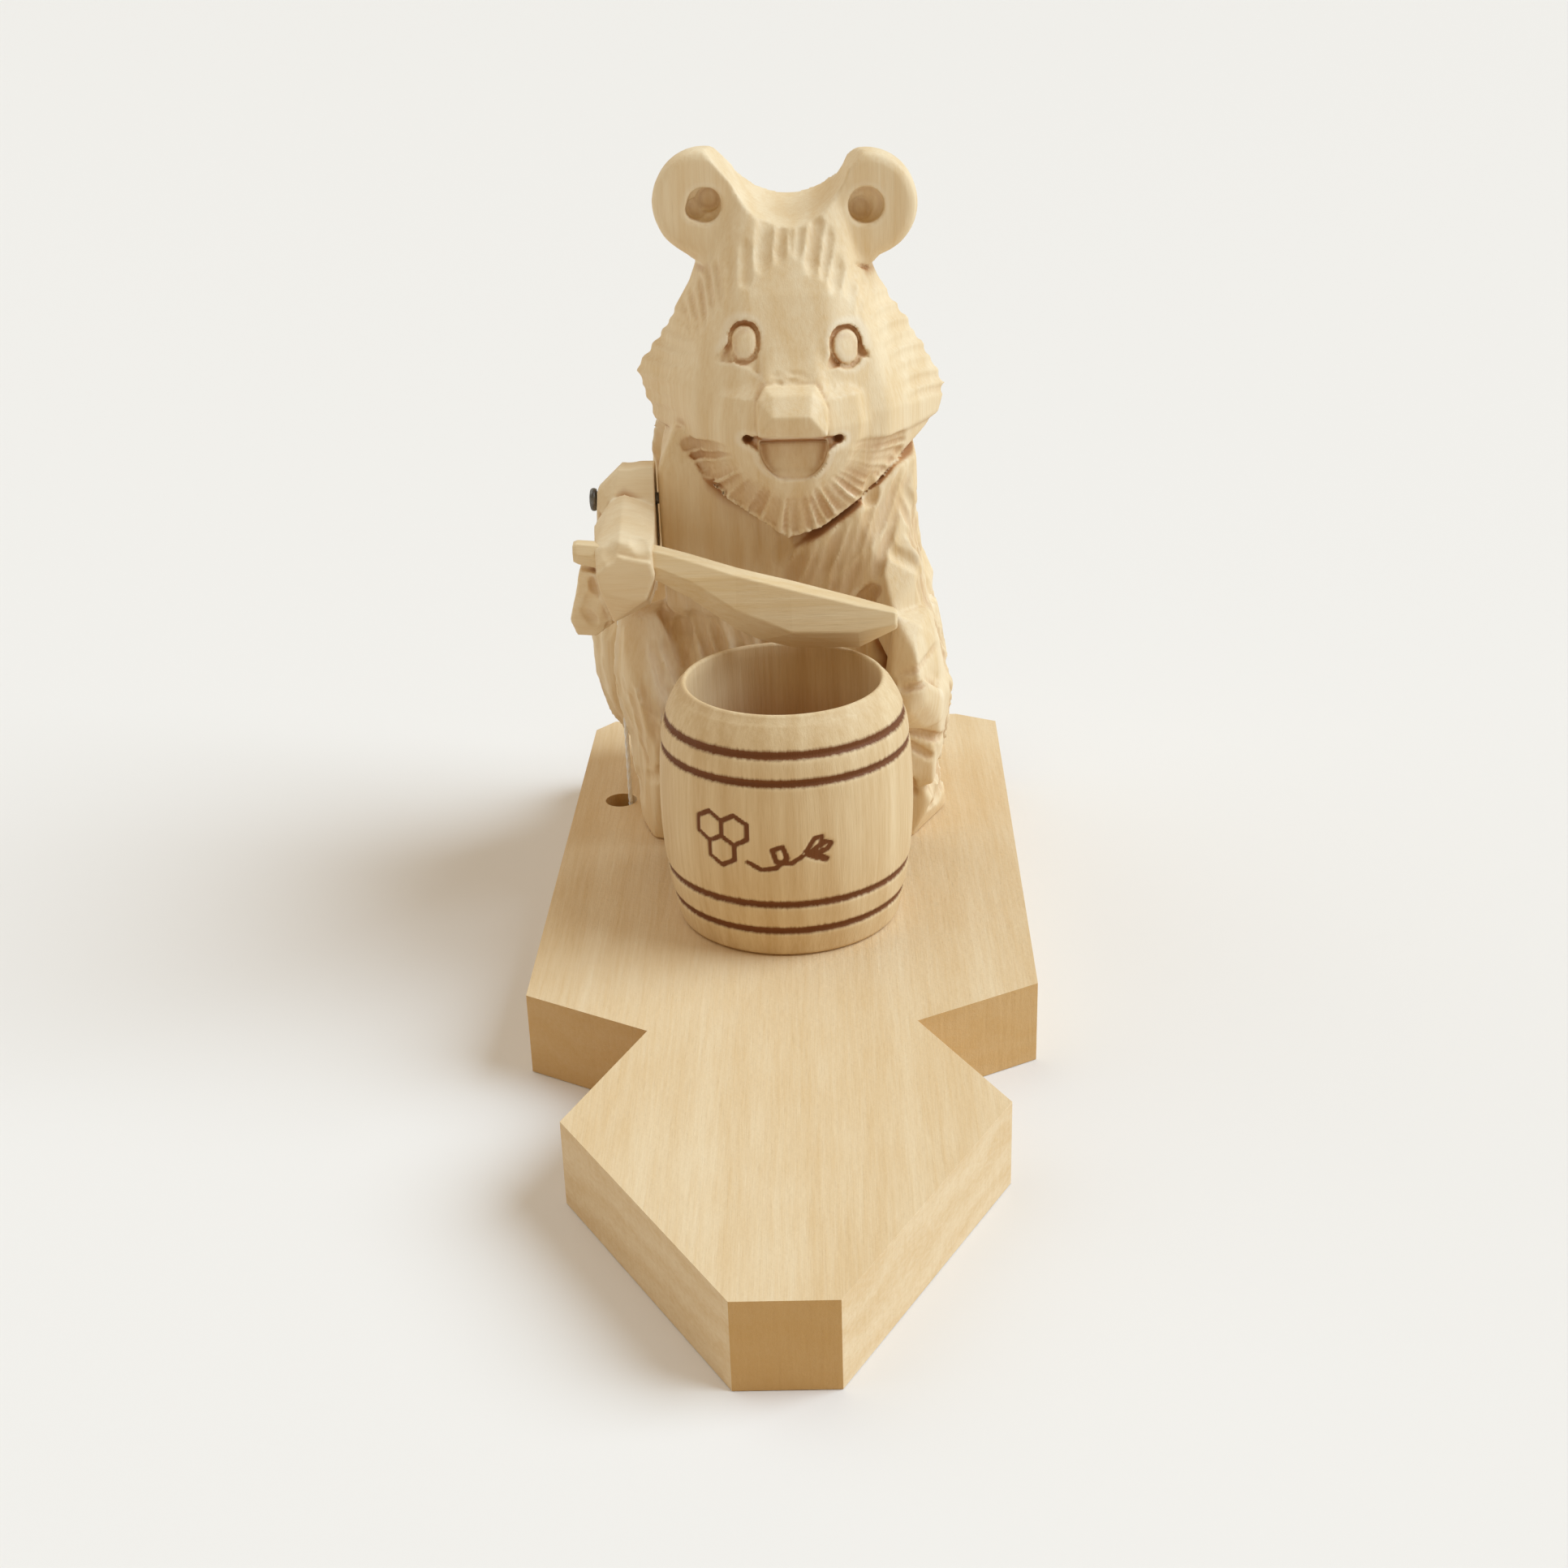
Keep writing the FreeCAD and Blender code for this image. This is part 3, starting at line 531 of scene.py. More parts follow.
    def shade_and_ridge_masks(self, corners, reach=1.0):
        """Two values a corner, used as paint: how far down in a cut it is, for painted shade, and how much of
        a ridge it stands on, for wear and painted highlight.
        """
        normals = self.outward(corners, 0.6)
        pace = (self.sample(corners + 0.5 * normals) - self.sample(corners - 0.5 * normals)) + 1e-3
        out = sum(self.sample(corners + normals * step) / (pace * step)
                  for step in (0.8 * reach, 2.0 * reach)) / 2
        back = -self.sample(corners - normals * reach) / (pace * reach)
        return {"painted_shade": np.clip((0.92 - out) * 2.1, 0, 1), "ridge": np.clip((0.96 - back) * 1.8, 0, 1)}


def steps(*spans):
    """Grid positions from (start, stop, step) spans."""
    return np.concatenate([np.arange(*span) for span in spans])


chance = np.random.default_rng(7)


# ---------------------------------------------------------------- bear: masses

bear = Carving(steps((-39.1, -15, 0.5), (-15, 20, 0.36), (20, 34, 0.46)),
               steps((42.5, 62, 0.38), (62, 76, 0.55), (76, 108, 0.75)),
               steps((12.6, 80, 0.5), (80, 112, 0.36), (112, 138, 0.42)))

bear.add(rounded([
    (14.2, -24, 26, 62, 103), (24, -25, 27, 57, 104), (36, -25, 27.5, 54.6, 104.2),
    (48, -24, 27.2, 53.8, 102.5), (55, -21.4, 26.6, 54.2, 100.5), (62, -20.9, 26.2, 55.2, 98),
    (70, -20.9, 25, 56.4, 95.5), (79, -20.9, 23.3, 57.6, 93.5), (86, -20.6, 22.6, 59, 92),
    (93, -17.5, 20, 61, 90), (98, -13, 15, 64, 86)], power=3.2))

# head: eight corners a section, from the front left round by the right
HEAD = [
    (71.5, [(0.2, 52.4), (3.6, 52.4), (6, 54), (9, 60), (8, 72), (-5, 72), (-6, 60), (-2.5, 54)]),
    (80, [(-3, 50.4), (6.5, 50.4), (13.5, 53), (22.2, 64), (16, 84), (-12, 84), (-19, 66), (-9, 53.2)]),
    (88.7, [(-5, 50.6), (9.5, 50.6), (18.5, 54.6), (27, 71), (19, 89), (-14, 89), (-20.3, 72),
            (-12.5, 55.2)]),
    (89.5, [(-5.4, 50.9), (9.9, 50.9), (19, 55), (28.6, 72), (19.5, 90.5), (-14.5, 90.5), (-22, 72.5),
            (-13.2, 55.6)]),
    (94, [(-5.8, 51.6), (10.3, 51.6), (19.6, 56), (30.1, 74.5), (20, 92.5), (-15, 92.5), (-23.9, 74.5),
          (-14.2, 56.4)]),
    (98.2, [(-5.8, 52.4), (10.4, 52.4), (18.6, 57), (27.9, 74.5), (19.5, 92.5), (-14.5, 92.5), (-25.1, 74.5),
            (-14.3, 57.2)]),
    (105.3, [(-5.6, 54.6), (10.4, 54.6), (16.6, 58.6), (23.7, 74), (17.5, 91), (-12, 91), (-19.7, 74),
             (-12.2, 58.6)]),
    (113.3, [(-5, 58.2), (9.8, 58.2), (14.2, 61.2), (18.2, 73), (14.5, 88), (-9.5, 88), (-14.9, 73),
             (-9.8, 61.2)]),
    (118.5, [(-4.6, 61.2), (9.4, 61.2), (12.8, 63.4), (16, 72), (13, 84.5), (-8, 84.5), (-12.9, 72),
             (-8.2, 63.4)]),
    (127, [(-4.2, 66), (9, 66), (11.5, 67.6), (14, 71.5), (11, 79.5), (-6, 79.5), (-11, 71.5), (-7, 67.6)]),
    (132.5, [(-4.2, 69), (9, 69), (11.5, 70), (13.5, 72), (10, 77), (-5, 77), (-10.5, 72), (-7, 70)]),
]
JAW = [(-21, 88.6), (-14.5, 85.6), (-12.9, 83), (-9.8, 80.6), (-2.8, 76.1), (1.5, 73), (7.4, 74.6),
       (14.1, 79), (21.7, 84.9), (27.5, 88.6)]


def jaw(x):
    """The height of the jaw's lower edge."""
    return np.interp(x, *zip(*JAW))


# a low ridge runs down the middle of the brow and the nose
for _, outline in HEAD:
    (left, y), (right, _) = outline[:2]
    outline.insert(1, (0.36 * left + 0.64 * right, y - 0.55))
head_form = tower(HEAD, soft=0.8)


def head_above_jaw(x, y, z):
    return soft_max(head_form(x, y, z), 0.8 * (jaw(x.ravel()).reshape(x.shape) - z), 0.25)


bear.add(head_above_jaw, (-30, 42, 70), (34, 98, 136))

# ears: upright discs that run down into the head, with a scooped saddle between them
EARS = {"left": (-11.4, 126.9), "right": (16, 126)}
for across, up in EARS.values():
    def ear(x, y, z, across=across, up=up):
        rim = np.hypot(x - across, z - up) - 8.75
        return soft_max(rim, np.abs(y - 72) - 4, 2.2)
    bear.add(ear, (across - 12, 64, up - 12), (across + 12, 82, up + 12), soft=1.4)
    inner = 4.0 if across < 0 else -4.0
    bear.add(hull([(across + inner, 69.5, up + 5), (across + inner, 75.5, up + 5),
                   (across - inner * 0.4, 68.2, up - 9.5), (across - inner * 0.4, 78.5, up - 9.5),
                   (across + inner * 2.6, 67, up - 3), (across + inner * 2.6, 77.5, up - 3),
                   (across + inner * 2, 67, up - 11),
                   (across + inner * 2, 80, up - 11)], soft=1.2),
             (across - 14, 62, up - 14), (across + 14, 84, up + 12), soft=1.2)

bear.add(hull([(-20, 69, 127.6), (-20, 75, 127.6), (-18.4, 68.4, 121.6), (-18.4, 76, 121.6),
               (-13.2, 69.4, 117.2), (-13.2, 77, 117.2), (-8, 66.5, 119), (-8, 78, 119), (-8, 68, 130),
               (-8, 76, 130)],
              soft=0.8), (-23, 62, 113), (-4, 82, 134), soft=0.5)
bear.add(hull([(24, 69, 127.4), (24, 75, 127.4), (22.3, 68.6, 121.4), (22.3, 76, 121.4), (15.6, 69.4, 115.2),
               (15.6, 77, 115.2), (11, 66.5, 118), (11, 78, 118), (11, 68, 129), (11, 76, 129)],
              soft=0.8), (7, 62, 111), (27, 82, 133), soft=0.5)


def saddle(x, y, z):
    """A scoop that dips towards the brow, opened out along the inner edges of the ears."""
    rise = z + 0.24 * (74.0 - y)
    scoop = np.hypot(x - 2.9, rise - 136.2) - 10.5
    left = (0.76 * (-4.2 - x) - 0.65 * (rise - 128.9)) + 0 * y
    other = (-0.72 * (9.6 - x) - 0.69 * (rise - 129.6)) + 0 * y
    wedge = np.maximum(np.maximum(left, other), 127.6 - rise)
    return np.minimum(scoop, wedge)


bear.cut(saddle, (-13, 60, 120), (19, 92, 138), soft=0.35)

# the flank behind the moving arm, the haunches, the legs and the arm that holds the barrel
bear.add(hull([(-16, 83.6, 92), (-23.8, 86, 86), (-25.4, 86.5, 70), (-27, 86.5, 54), (-18, 83.6, 50),
               (-22.5, 83.6, 84), (-23.5, 83.8, 54), (-23, 89, 80), (-26.5, 94, 56), (-8, 95, 56),
               (-8, 84, 92), (-12, 87, 88), (-8, 84, 50)], soft=1.2),
         (-31, 80, 46), (0, 104, 96), soft=0.8)
bear.add(rounded([(14.2, -26, -12, 81.5, 98.5), (20, -29.5, -9, 80, 100), (28, -35.2, -9, 79, 102),
                  (33, -37.2, -9, 78.6, 102.5), (39, -38.1, -9, 78.6, 102.5), (45, -37.9, -9, 78.6, 102),
                  (53, -35, -9, 79.5, 100.5), (61, -28.5, -9, 81, 97.5),
                  (68, -20, -9, 83, 95)], power=2.5, soft=1.5), soft=0.8)
bear.add(rounded([(14.2, 8, 28, 82, 101), (26, 8, 30, 79, 103), (40, 8, 30.2, 79, 103),
                  (54, 8, 28.6, 80, 100), (64, 8, 24.5, 82, 96)], power=2.4, soft=3), soft=1.5)
LIMBS = [
    # left knee, shin and foot
    [(-29.2, 58.5, 58), (-24, 56, 57.5), (-19, 60, 60), (-31.2, 60, 48), (-30.8, 61, 41),
     (-26.8, 52.8, 45), (-22.8, 51.6, 40), (-29.4, 63.5, 34), (-16, 56, 36), (-16, 66, 60),
     (-25.2, 57, 29), (-27, 66, 30)],
    [(-29.4, 62, 36), (-22.8, 51.8, 40), (-25.4, 56.5, 28.5), (-25, 57, 14.2), (-27.6, 65.5, 14.2),
     (-14, 54, 14.2), (-14, 54, 34), (-12, 74, 14.2), (-12, 70, 40), (-26.5, 65.5, 30)],
    # right thigh and foot
    [(20, 52, 36.5), (26.4, 52.5, 34), (28.4, 56, 38), (30.4, 66, 40), (26.8, 54, 25.5), (20.4, 52.2, 28),
     (12, 58, 38), (12, 72, 42), (29, 74, 30), (14, 56, 22), (24, 76, 18)],
    [(20.6, 55, 27), (24.8, 54.6, 24.6), (26.4, 55.6, 21), (24.4, 55, 17.6), (22.9, 55.4, 14.2),
     (12, 56, 14.2), (12, 60, 27), (29.7, 68.7, 14.2), (29.4, 66, 24), (26, 84, 14.2), (12, 84, 14.2),
     (24, 80, 28)],
    # right upper arm, forearm and paw
    [(17.5, 62, 80), (22.4, 62, 78), (17.8, 53.6, 67), (24.6, 56, 66), (25, 66, 66), (19.4, 50.6, 59),
     (26.8, 58, 57), (27.2, 68, 57), (12, 60, 62), (18.6, 52.5, 50), (28.4, 60, 48), (27, 72, 46)],
    [(19.6, 49.4, 60), (24.4, 49.8, 57.6), (28.2, 56, 52), (23, 45.6, 54), (23.8, 44.6, 50),
     (18.8, 46.6, 49.4), (17.6, 50, 47), (30.2, 59, 43), (30.4, 62, 38), (21, 45.2, 46), (27.5, 52, 40.5),
     (20, 52.5, 40.5), (19, 58, 42), (18.4, 51, 53)],
    [(18.2, 46.2, 47.6), (23.8, 44.7, 50), (18.8, 45.4, 44.2), (21.6, 43.8, 43.4), (24.8, 44.6, 44.8),
     (27.2, 47.6, 46), (28.6, 52, 44), (27.8, 50.5, 39), (25, 48.6, 38.4), (20.4, 49, 38.6),
     (19.4, 54, 40), (28.4, 57, 39)],
    [(19.4, 49.6, 59.4), (24.2, 49.8, 57.2), (26.9, 57.4, 59), (18, 58, 62), (23.6, 46.2, 52),
     (28, 53.6, 50.6), (29, 60, 48), (20, 58, 45), (28.6, 54, 46), (20, 48, 48), (26.9, 66, 57)],
]
for corners in LIMBS:
    bear.block(corners, 0.5, 0.35, 5)

# the chest under the jaw, and the hand that rests against the barrel
for corners in ([(1, 54.8, 69), (7, 53.6, 72.6), (13.5, 54, 77.4), (20.6, 59.4, 83.2), (24.2, 64, 84),
                 (23.6, 60, 73), (18.5, 53.8, 65), (8, 54.4, 58), (-2, 55.4, 60), (-2, 70, 60),
                 (-2, 70, 72), (18, 82, 89), (25, 70, 64), (24, 70, 84.4), (23, 81, 88.6)],
                [(18.4, 49, 45), (27.6, 50.2, 45.4), (30.6, 57, 42.5), (30.6, 60, 35.5), (27.6, 55, 30),
                 (21, 52.6, 30.6), (18, 51.4, 36), (14, 58, 45), (14, 60, 30.5), (29.6, 70, 33),
                 (29.4, 70, 49), (28.8, 60, 50.5), (29.9, 86, 30), (29.8, 86, 46), (28.2, 82, 54),
                 (27.4, 66, 56.5), (28.8, 80, 20), (28.6, 70, 21)]):
    bear.block(corners, 0.3, 0.4, 4)

# the shoulder that the moving arm is nailed to
bear.add(hull([(-20.4, 56.8, 72), (-20.9, 58, 72), (-20.9, 72, 72), (-20.9, 58.2, 84), (-20.2, 57.4, 84),
               (-20.9, 72, 84.5), (-12, 56.4, 72), (-12, 57.2, 84), (-8, 60, 92), (-18, 60, 90.5),
               (-18, 72, 91), (-20.2, 56, 60), (-20.6, 60, 56), (-20.6, 72, 56), (-10, 55, 58),
               (0, 60, 56), (0, 60, 88), (-6, 76, 88), (-6, 76, 56)], soft=0.5),
         (-24, 50, 50), (4, 80, 96), soft=0.6)

# muzzle, nose and chin
bear.add(tower([
    (80.5, [(-0.8, 50), (5.4, 50), (9, 52.4), (11, 58), (-7, 58), (-4.8, 52.4)]),
    (84.6, [(-1.6, 48.9), (6.6, 48.9), (11.4, 51.4), (14.5, 58), (-10.5, 58), (-6.8, 51.6)]),
    (89, [(-2.8, 48.3), (8.6, 48.3), (13.6, 51.4), (17.5, 58), (-13.5, 58), (-9, 51.8)]),
    (93, [(-3, 48.2), (8.8, 48.2), (14.4, 51.8), (18.5, 59), (-14, 59), (-9.4, 52.2)]),
    (97.6, [(-2.8, 49.2), (8.4, 48.9), (13.8, 52.8), (17.5, 60), (-13, 60), (-8.8, 53.2)]),
    (100, [(-1.8, 51), (7.6, 51), (11.8, 54.4), (15.5, 60), (-11, 60), (-6.6, 54.6)]),
    (106.5, [(-0.4, 55.2), (6.4, 55.2), (9.5, 57), (12, 61), (-7.5, 61), (-4.4, 57)])], soft=0.4),
    (-18, 42, 78), (24, 64, 108), soft=0.7)
bear.cut(hull([(-12, 40, 77.2), (16, 40, 77.2), (-12, 49.4, 81.6), (16, 49.4, 81.6), (-12, 52.3, 73),
               (16, 52.3, 73), (-12, 40, 60), (16, 40, 60), (-12, 52.3, 60),
               (16, 52.3, 60)], soft=0.3),
         (-12, 42, 70), (16, 56, 84))
bear.add(hull([(-1.8, 50, 99.9), (7, 50, 99.8), (-0.3, 47.4, 99), (6.2, 47.4, 98.9), (-0.4, 44.6, 95.9),
               (5.9, 44.5, 95.9), (-2.9, 45.6, 92.5), (8.7, 45.5, 92.3), (-2.9, 47.8, 98.2),
               (8.7, 47.5, 96.8), (-2.9, 56, 92.7), (8.7, 56, 92.5),
               (3, 57, 99.8)], soft=0.05), (-7, 42, 88), (13, 60, 104))


def mouth(x, y, z):
    """A half-round mouth: a wall runs in under the nose, and the tongue comes forward to the lip."""
    up = z - 92.4
    half = 5.7 * np.sqrt(np.clip(1 - (np.minimum(up + 2.8, 0) / 5.7) ** 2, 0, 1)) + 0.02
    outline = soft_max(np.abs(x - 2.9) - half, up + 0 * x, 0.1)
    floor = np.interp(up.ravel(), [-8.6, -8, -6.5, -2.7, -2.35, 0],
                      [48.4, 49.8, 50.9, 52, 52.6, 46.4]).reshape(up.shape)
    return soft_max(outline, y - floor + 0 * x, 0.15)


bear.cut(mouth, (-6, 42, 82), (12, 60, 94))
for across, up, out in ((-4.7, 91.1, -1), (10.4, 90.8, 1)):
    bear.cut(ball((across, 50.2, up + 0.1), (0.95, 2.6, 0.8)), (across - 3, 43, up - 3),
             (across + 3, 58, up + 3), soft=0.1)
    inner = across - out * 2.0
    bear.cut(hull([(across + out * 0.9, 46, up + 0.3), (inner, 46, up + 1), (inner - out * 0.4, 46, up - 2.2),
                   (across + out * 0.9, 50.4, up + 0.3), (inner, 50.8, up + 1),
                   (inner - out * 0.4, 49.8, up - 2.2)],
                  soft=0.2), (across - 5, 43, up - 7), (across + 5, 56, up + 4), soft=0.2)

# eyes: an oval ring cut round a slightly sunk eyeball, with a small three-cornered cut on each side
EYES = [(-4.95, 106.1, 0.06), (12.05, 104.9, -0.10)]
CORNERS = [[[(-7.3, 106.4), (-10, 102.8), (-7, 103)], [(-2.6, 104.2), (-5, 102.6), (-2.4, 101.2)]],
           [[(14.1, 106), (16.2, 102.5), (14, 103.2)], [(9.6, 104.2), (8.5, 101.8), (11.2, 102)]]]


def front_of(across, up):
    return bear.find("front", np.array([across]), np.array([up]))[0, 1]


for across, up, lean in EYES:
    face = front_of(across, up)
    slope = (front_of(across, up + 3) - front_of(across, up - 3)) / 6
    turn = (front_of(across + 2.6, up) - front_of(across - 2.6, up)) / 5.2

    def eye_cut(x, y, z, across=across, up=up, lean=lean, face=face, slope=slope, turn=turn):
        side, rise = x - across - lean * (z - up), z - up
        oval = ((np.abs(side) / 2.5) ** 2.2 + (np.abs(rise) / 3.15) ** 2.2) ** (1 / 2.2)
        depth = y - face - slope * rise - turn * (x - across)
        trench = np.maximum(np.abs(oval - 0.97) * 2.6 - 0.33, depth - 1.35 - 0.06 * rise)
        dome = np.maximum((oval - 0.97) * 2.5, depth - 0.1 - 1.0 * np.minimum(oval, 1) ** 3.2)
        return np.minimum(trench, dome)
    bear.cut(eye_cut, (across - 5, face - 5, up - 6), (across + 5, face + 6, up + 6), soft=0.08)
for eye in CORNERS:
    for top, tip, low in eye:
        near = [front_of(*spot) for spot in (top, tip, low)]
        pit = [(*spot[:1], y - 3, *spot[1:]) for spot, y in zip((top, tip, low), near)]
        pit += [(top[0], near[0] + 0.35, top[1]), (tip[0], near[1] + 0.1, tip[1]),
                (low[0], near[2] + 0.95, low[1])]
        bear.cut(hull(pit, soft=0.05), (min(top[0], tip[0], low[0]) - 2, near[0] - 5, low[1] - 4),
                 (max(top[0], tip[0], low[0]) + 2, near[0] + 6, top[1] + 3))

# ear hollows: drilled, with the rough bottom that the drill left
for number, (across, up) in enumerate(EARS.values()):
    turns = [(0, 0, 3.05, 3.4), (-0.9, -0.9, 1.9, 4.2)] if number else \
            [(0.1, -0.2, 2.9, 2.9), (0.8, 0.5, 2.1, 4.4), (-1.4, -1, 1.7, 3.6)]
    for right, rise, radius, deep in turns:
        bear.cut(lambda x, y, z, a=across + right, u=up + rise, r=radius, d=deep: soft_max(
            np.hypot(x - a, z - u) - r, y - 68.0 - d + 0.35 * np.hypot(x - a, z - u), 0.3),
            (across - 6, 62, up - 6), (across + 6, 76, up + 6), soft=0.25)


# ---------------------------------------------------------------- bear: gouge strokes

def strokes(carving, side, rows):
    for row in rows:
        carving.gouge(side, *row)


def hatch(carving, side, left, right, low, high, lean, width, length, depth, skip=None):
    """Rows of overlapping strokes over a patch of one side, from the top down."""
    for up in np.arange(high, low, -0.62 * length):
        for across in np.arange(left, right, 0.74 * width):
            a = across + chance.uniform(-0.25, 0.25) * width
            top = up + chance.uniform(-0.35, 0.35) * length
            long = length * chance.uniform(0.75, 1.2)
            wide = width * chance.uniform(0.8, 1.2)
            turn = lean + chance.uniform(-0.08, 0.08)
            deep = depth * chance.uniform(1, 1.6)
            if skip is not None and skip(a, top):
                continue
            end = (a + long * math.sin(turn), max(top - long * math.cos(turn), low - 1))
            carving.gouge(side, (a, top), end, wide, deep)


bear.guide = bear.field.copy()

# back, flanks and the back of the head
hatch(bear, "back", -33, 29, 16, 84, 0.05, 4.4, 15, 0.6)
hatch(bear, "back", -22, 27, 94, 124, -0.05, 3.6, 12, 0.6)
hatch(bear, "right", 74, 104, 16, 83, 0.12, 4, 14, 0.6)
hatch(bear, "right", 77, 92, 94, 118, -0.2, 3.2, 10, 0.55)
hatch(bear, "left", 84, 104, 20, 83, -0.12, 4, 13, 0.6)
hatch(bear, "left", 77, 92, 94, 116, 0.2, 3.2, 10, 0.55)
hatch(bear, "right", 56, 74, 20, 80, 0.20, 2.7, 12, 0.75)

# the left knee and shin
hatch(bear, "front", -31, -21, 29, 60, 0.14, 2.6, 15, 0.55)
hatch(bear, "left", 58, 80, 20, 60, 0.10, 2.9, 13, 0.5)

# lower belly and chest under the spoon, seen from the front
hatch(bear, "front", -21, -4, 26, 60, 0.30, 2.7, 15, 0.65)
hatch(bear, "front", -4, 17, 40, 60, 0.10, 2.9, 14, 0.45)
hatch(bear, "front", -19.5, -6, 60, 84, 0.14, 3.8, 16, 0.22, skip=lambda a, top: top > jaw(a) - 2)

# under the jaw only
bear.spare = lambda x, y, z: jaw(x.ravel()).reshape(x.shape) - 0.1 - z + 0 * y
# chest: long strokes that fall from the right shoulder towards the middle
for number in range(15):
    top = 25.5 - 2.05 * number
    start = (top, min(jaw(top) - 2, 87) if top > -4 else 74)
    for part in range(3):
        begin = (start[0] - 4.6 * part + chance.uniform(-0.5, 0.5),
                 start[1] - 10.2 * part + chance.uniform(-1, 1))
        if begin[0] < 1.5 or begin[1] < 60:
            break
        bear.gouge("front", begin, (begin[0] - 5.6, begin[1] - 12.4), chance.uniform(2.1, 3),
                   chance.uniform(0.65, 0.95), 0.03, 0.3, 0.3)
strokes(bear, "front", [((0.6, 72.6), (0.2, 60), 2.8, 0.6), ((-2.7, 75), (-3.1, 62), 3.4, 0.6)])

# above the jaw's edge only
bear.spare = lambda x, y, z: z - jaw(x.ravel()).reshape(x.shape) - 0.3 + 0 * y
# jaw: narrow strokes that spread from the mouth to the jaw's edge
for angle in np.radians(np.linspace(188, 352, 33)):
    turn = angle + chance.uniform(-0.03, 0.03)
    begin = (2.6 + 10.2 * math.cos(turn), 90.8 + 8.6 * math.sin(turn))
    for reach in np.arange(1.12, 2.6, 0.02):
        end = (2.6 + 10.2 * reach * math.cos(turn), 90.8 + 8.6 * reach * math.sin(turn))
        if end[1] < jaw(end[0]) + 0.5 or abs(end[0] - 3) > 19:
            break
    bear.gouge("front", begin, end, chance.uniform(1.4, 2.3), chance.uniform(0.6, 0.95), 0, 0.06, 0.5)

# brow, temples and cheeks
strokes(bear, "front", [
    ((-1, 124.2), (-1.8, 116.8), 3.3, 0.75, 0, 0.3, 0.02), ((1.7, 123.3), (1.1, 118), 2.4, 0.6, 0, 0.3, 0.02),
    ((3.3, 123.1), (3.3, 119.4), 1.2, 0.35, 0, 0.3, 0.02),
    ((4.9, 123.3), (4.2, 118.8), 1.8, 0.5, 0, 0.3, 0.02),
    ((7.7, 124.2), (6.4, 116.3), 2.9, 0.8, 0, 0.25, 0.02), ((9.8, 123.2), (8.5, 115.2), 2.2, 0.6, 0, 0.25),
    ((-4.4, 121.4), (-4.6, 114.8), 2.7, 0.55, 0, 0.12), ((-7, 119.8), (-7.4, 112.8), 2.5, 0.45),
    ((11.2, 118.6), (10.2, 113.4), 2.9, 0.7, 0, 0.3, 0.3),
    ((14.2, 117.2), (12.6, 112.4), 3, 0.6, 0, 0.3, 0.3),
    ((15.6, 114.6), (14.2, 109), 1.8, 0.4), ((17.2, 113.2), (15.8, 107.4), 2.2, 0.45),
    ((-9.6, 118.4), (-8.8, 110.8), 1.9, 0.55), ((-11.3, 117), (-9.9, 109.6), 2, 0.6),
    ((-12.8, 115), (-11.3, 107.6), 1.8, 0.6), ((-14.4, 112.6), (-12.6, 106.2), 1.8, 0.55),
    ((-16, 110.6), (-14, 105), 1.8, 0.5)])
for number in range(8):
    drop = 2.2 * number
    bear.gouge("right", (59.0 + 0.3 * number, 109.6 - drop),
               (76, 109.4 - 1.06 * drop - chance.uniform(0, 0.8)),
               chance.uniform(2.2, 2.8), chance.uniform(0.4, 0.55), 0.04, 0.05, 0.35)
    bear.gouge("left", (60.0 + 0.3 * number, 108.4 - drop),
               (76, 108.6 - 1.06 * drop - chance.uniform(0, 0.8)),
               chance.uniform(2, 2.6), chance.uniform(0.35, 0.5), -0.04, 0.05, 0.35)
strokes(bear, "front", [
    ((29, 89.6), (17.6, 93.8), 1.6, 0.9, -0.05, 0.9, 0.02),
    ((-22.4, 90.8), (-12.6, 94.2), 1.4, 0.7, 0.04, 0.9, 0.02),
    ((16.6, 115.2), (13.4, 117.4), 0.7, 0.6, 0, 0.4, 0.02),
    ((-13.6, 117.1), (-9.6, 119.6), 0.7, 0.6, 0, 0.4, 0.02),
    ((-11.7, 82), (-9.2, 80.4), 2, 1.2, 0, 0.3, 0.3)])
bear.spare = None
# the knife line under the jaw
for (ax, az), (bx, bz) in zip(JAW[2:], JAW[3:-1]):
    bear.gouge("front", (ax, az - 0.1), (bx, bz - 0.1), 0.8, 0.5, 0, 0.05, 0.05)
# torn fibres on the bridge of the nose
for number in range(14):
    across = chance.uniform(-1.5, 10.5)
    up = 100.6 - 0.35 * max(across - 3, 0) + chance.uniform(-0.9, 1.4)
    bear.gouge("front", (across, up), (across + chance.uniform(0.8, 1.7), up + chance.uniform(-0.6, 0.6)),
               0.8, chance.uniform(0.12, 0.3))

# claws of the right paw and foot, and the edges of the thigh
strokes(bear, "front", [
    ((18.8, 43.4), (28.6, 45.6), 1.5, 0.8, 0, 0.05, 0.4), ((18.6, 42.2), (30, 41.8), 1.9, 0.9, 0, 0.05, 0.4),
    ((18.6, 40.6), (30, 38), 2, 0.9, 0, 0.05, 0.4), ((18.6, 38.8), (28.6, 34.2), 2, 0.8, 0, 0.05, 0.4),
    ((18.8, 36.6), (26.4, 31), 1.9, 0.7, 0, 0.05, 0.4), ((19.4, 49.6), (27.4, 52.6), 1.6, 0.5, 0, 0.05, 0.4),
    ((19.8, 47.4), (28.4, 49.4), 1.7, 0.7, 0, 0.05, 0.4), ((22.4, 27.2), (23.4, 22.6), 1.6, 0.7),
    ((25, 26), (26.2, 21), 1.4, 0.6)])

corners, quads = bear.net()
piece("carved_bear", corners, quads, "stand", bear_wood, "bear_body",
      attributes=bear.shade_and_ridge_masks(corners))


# ---------------------------------------------------------------- moving arm

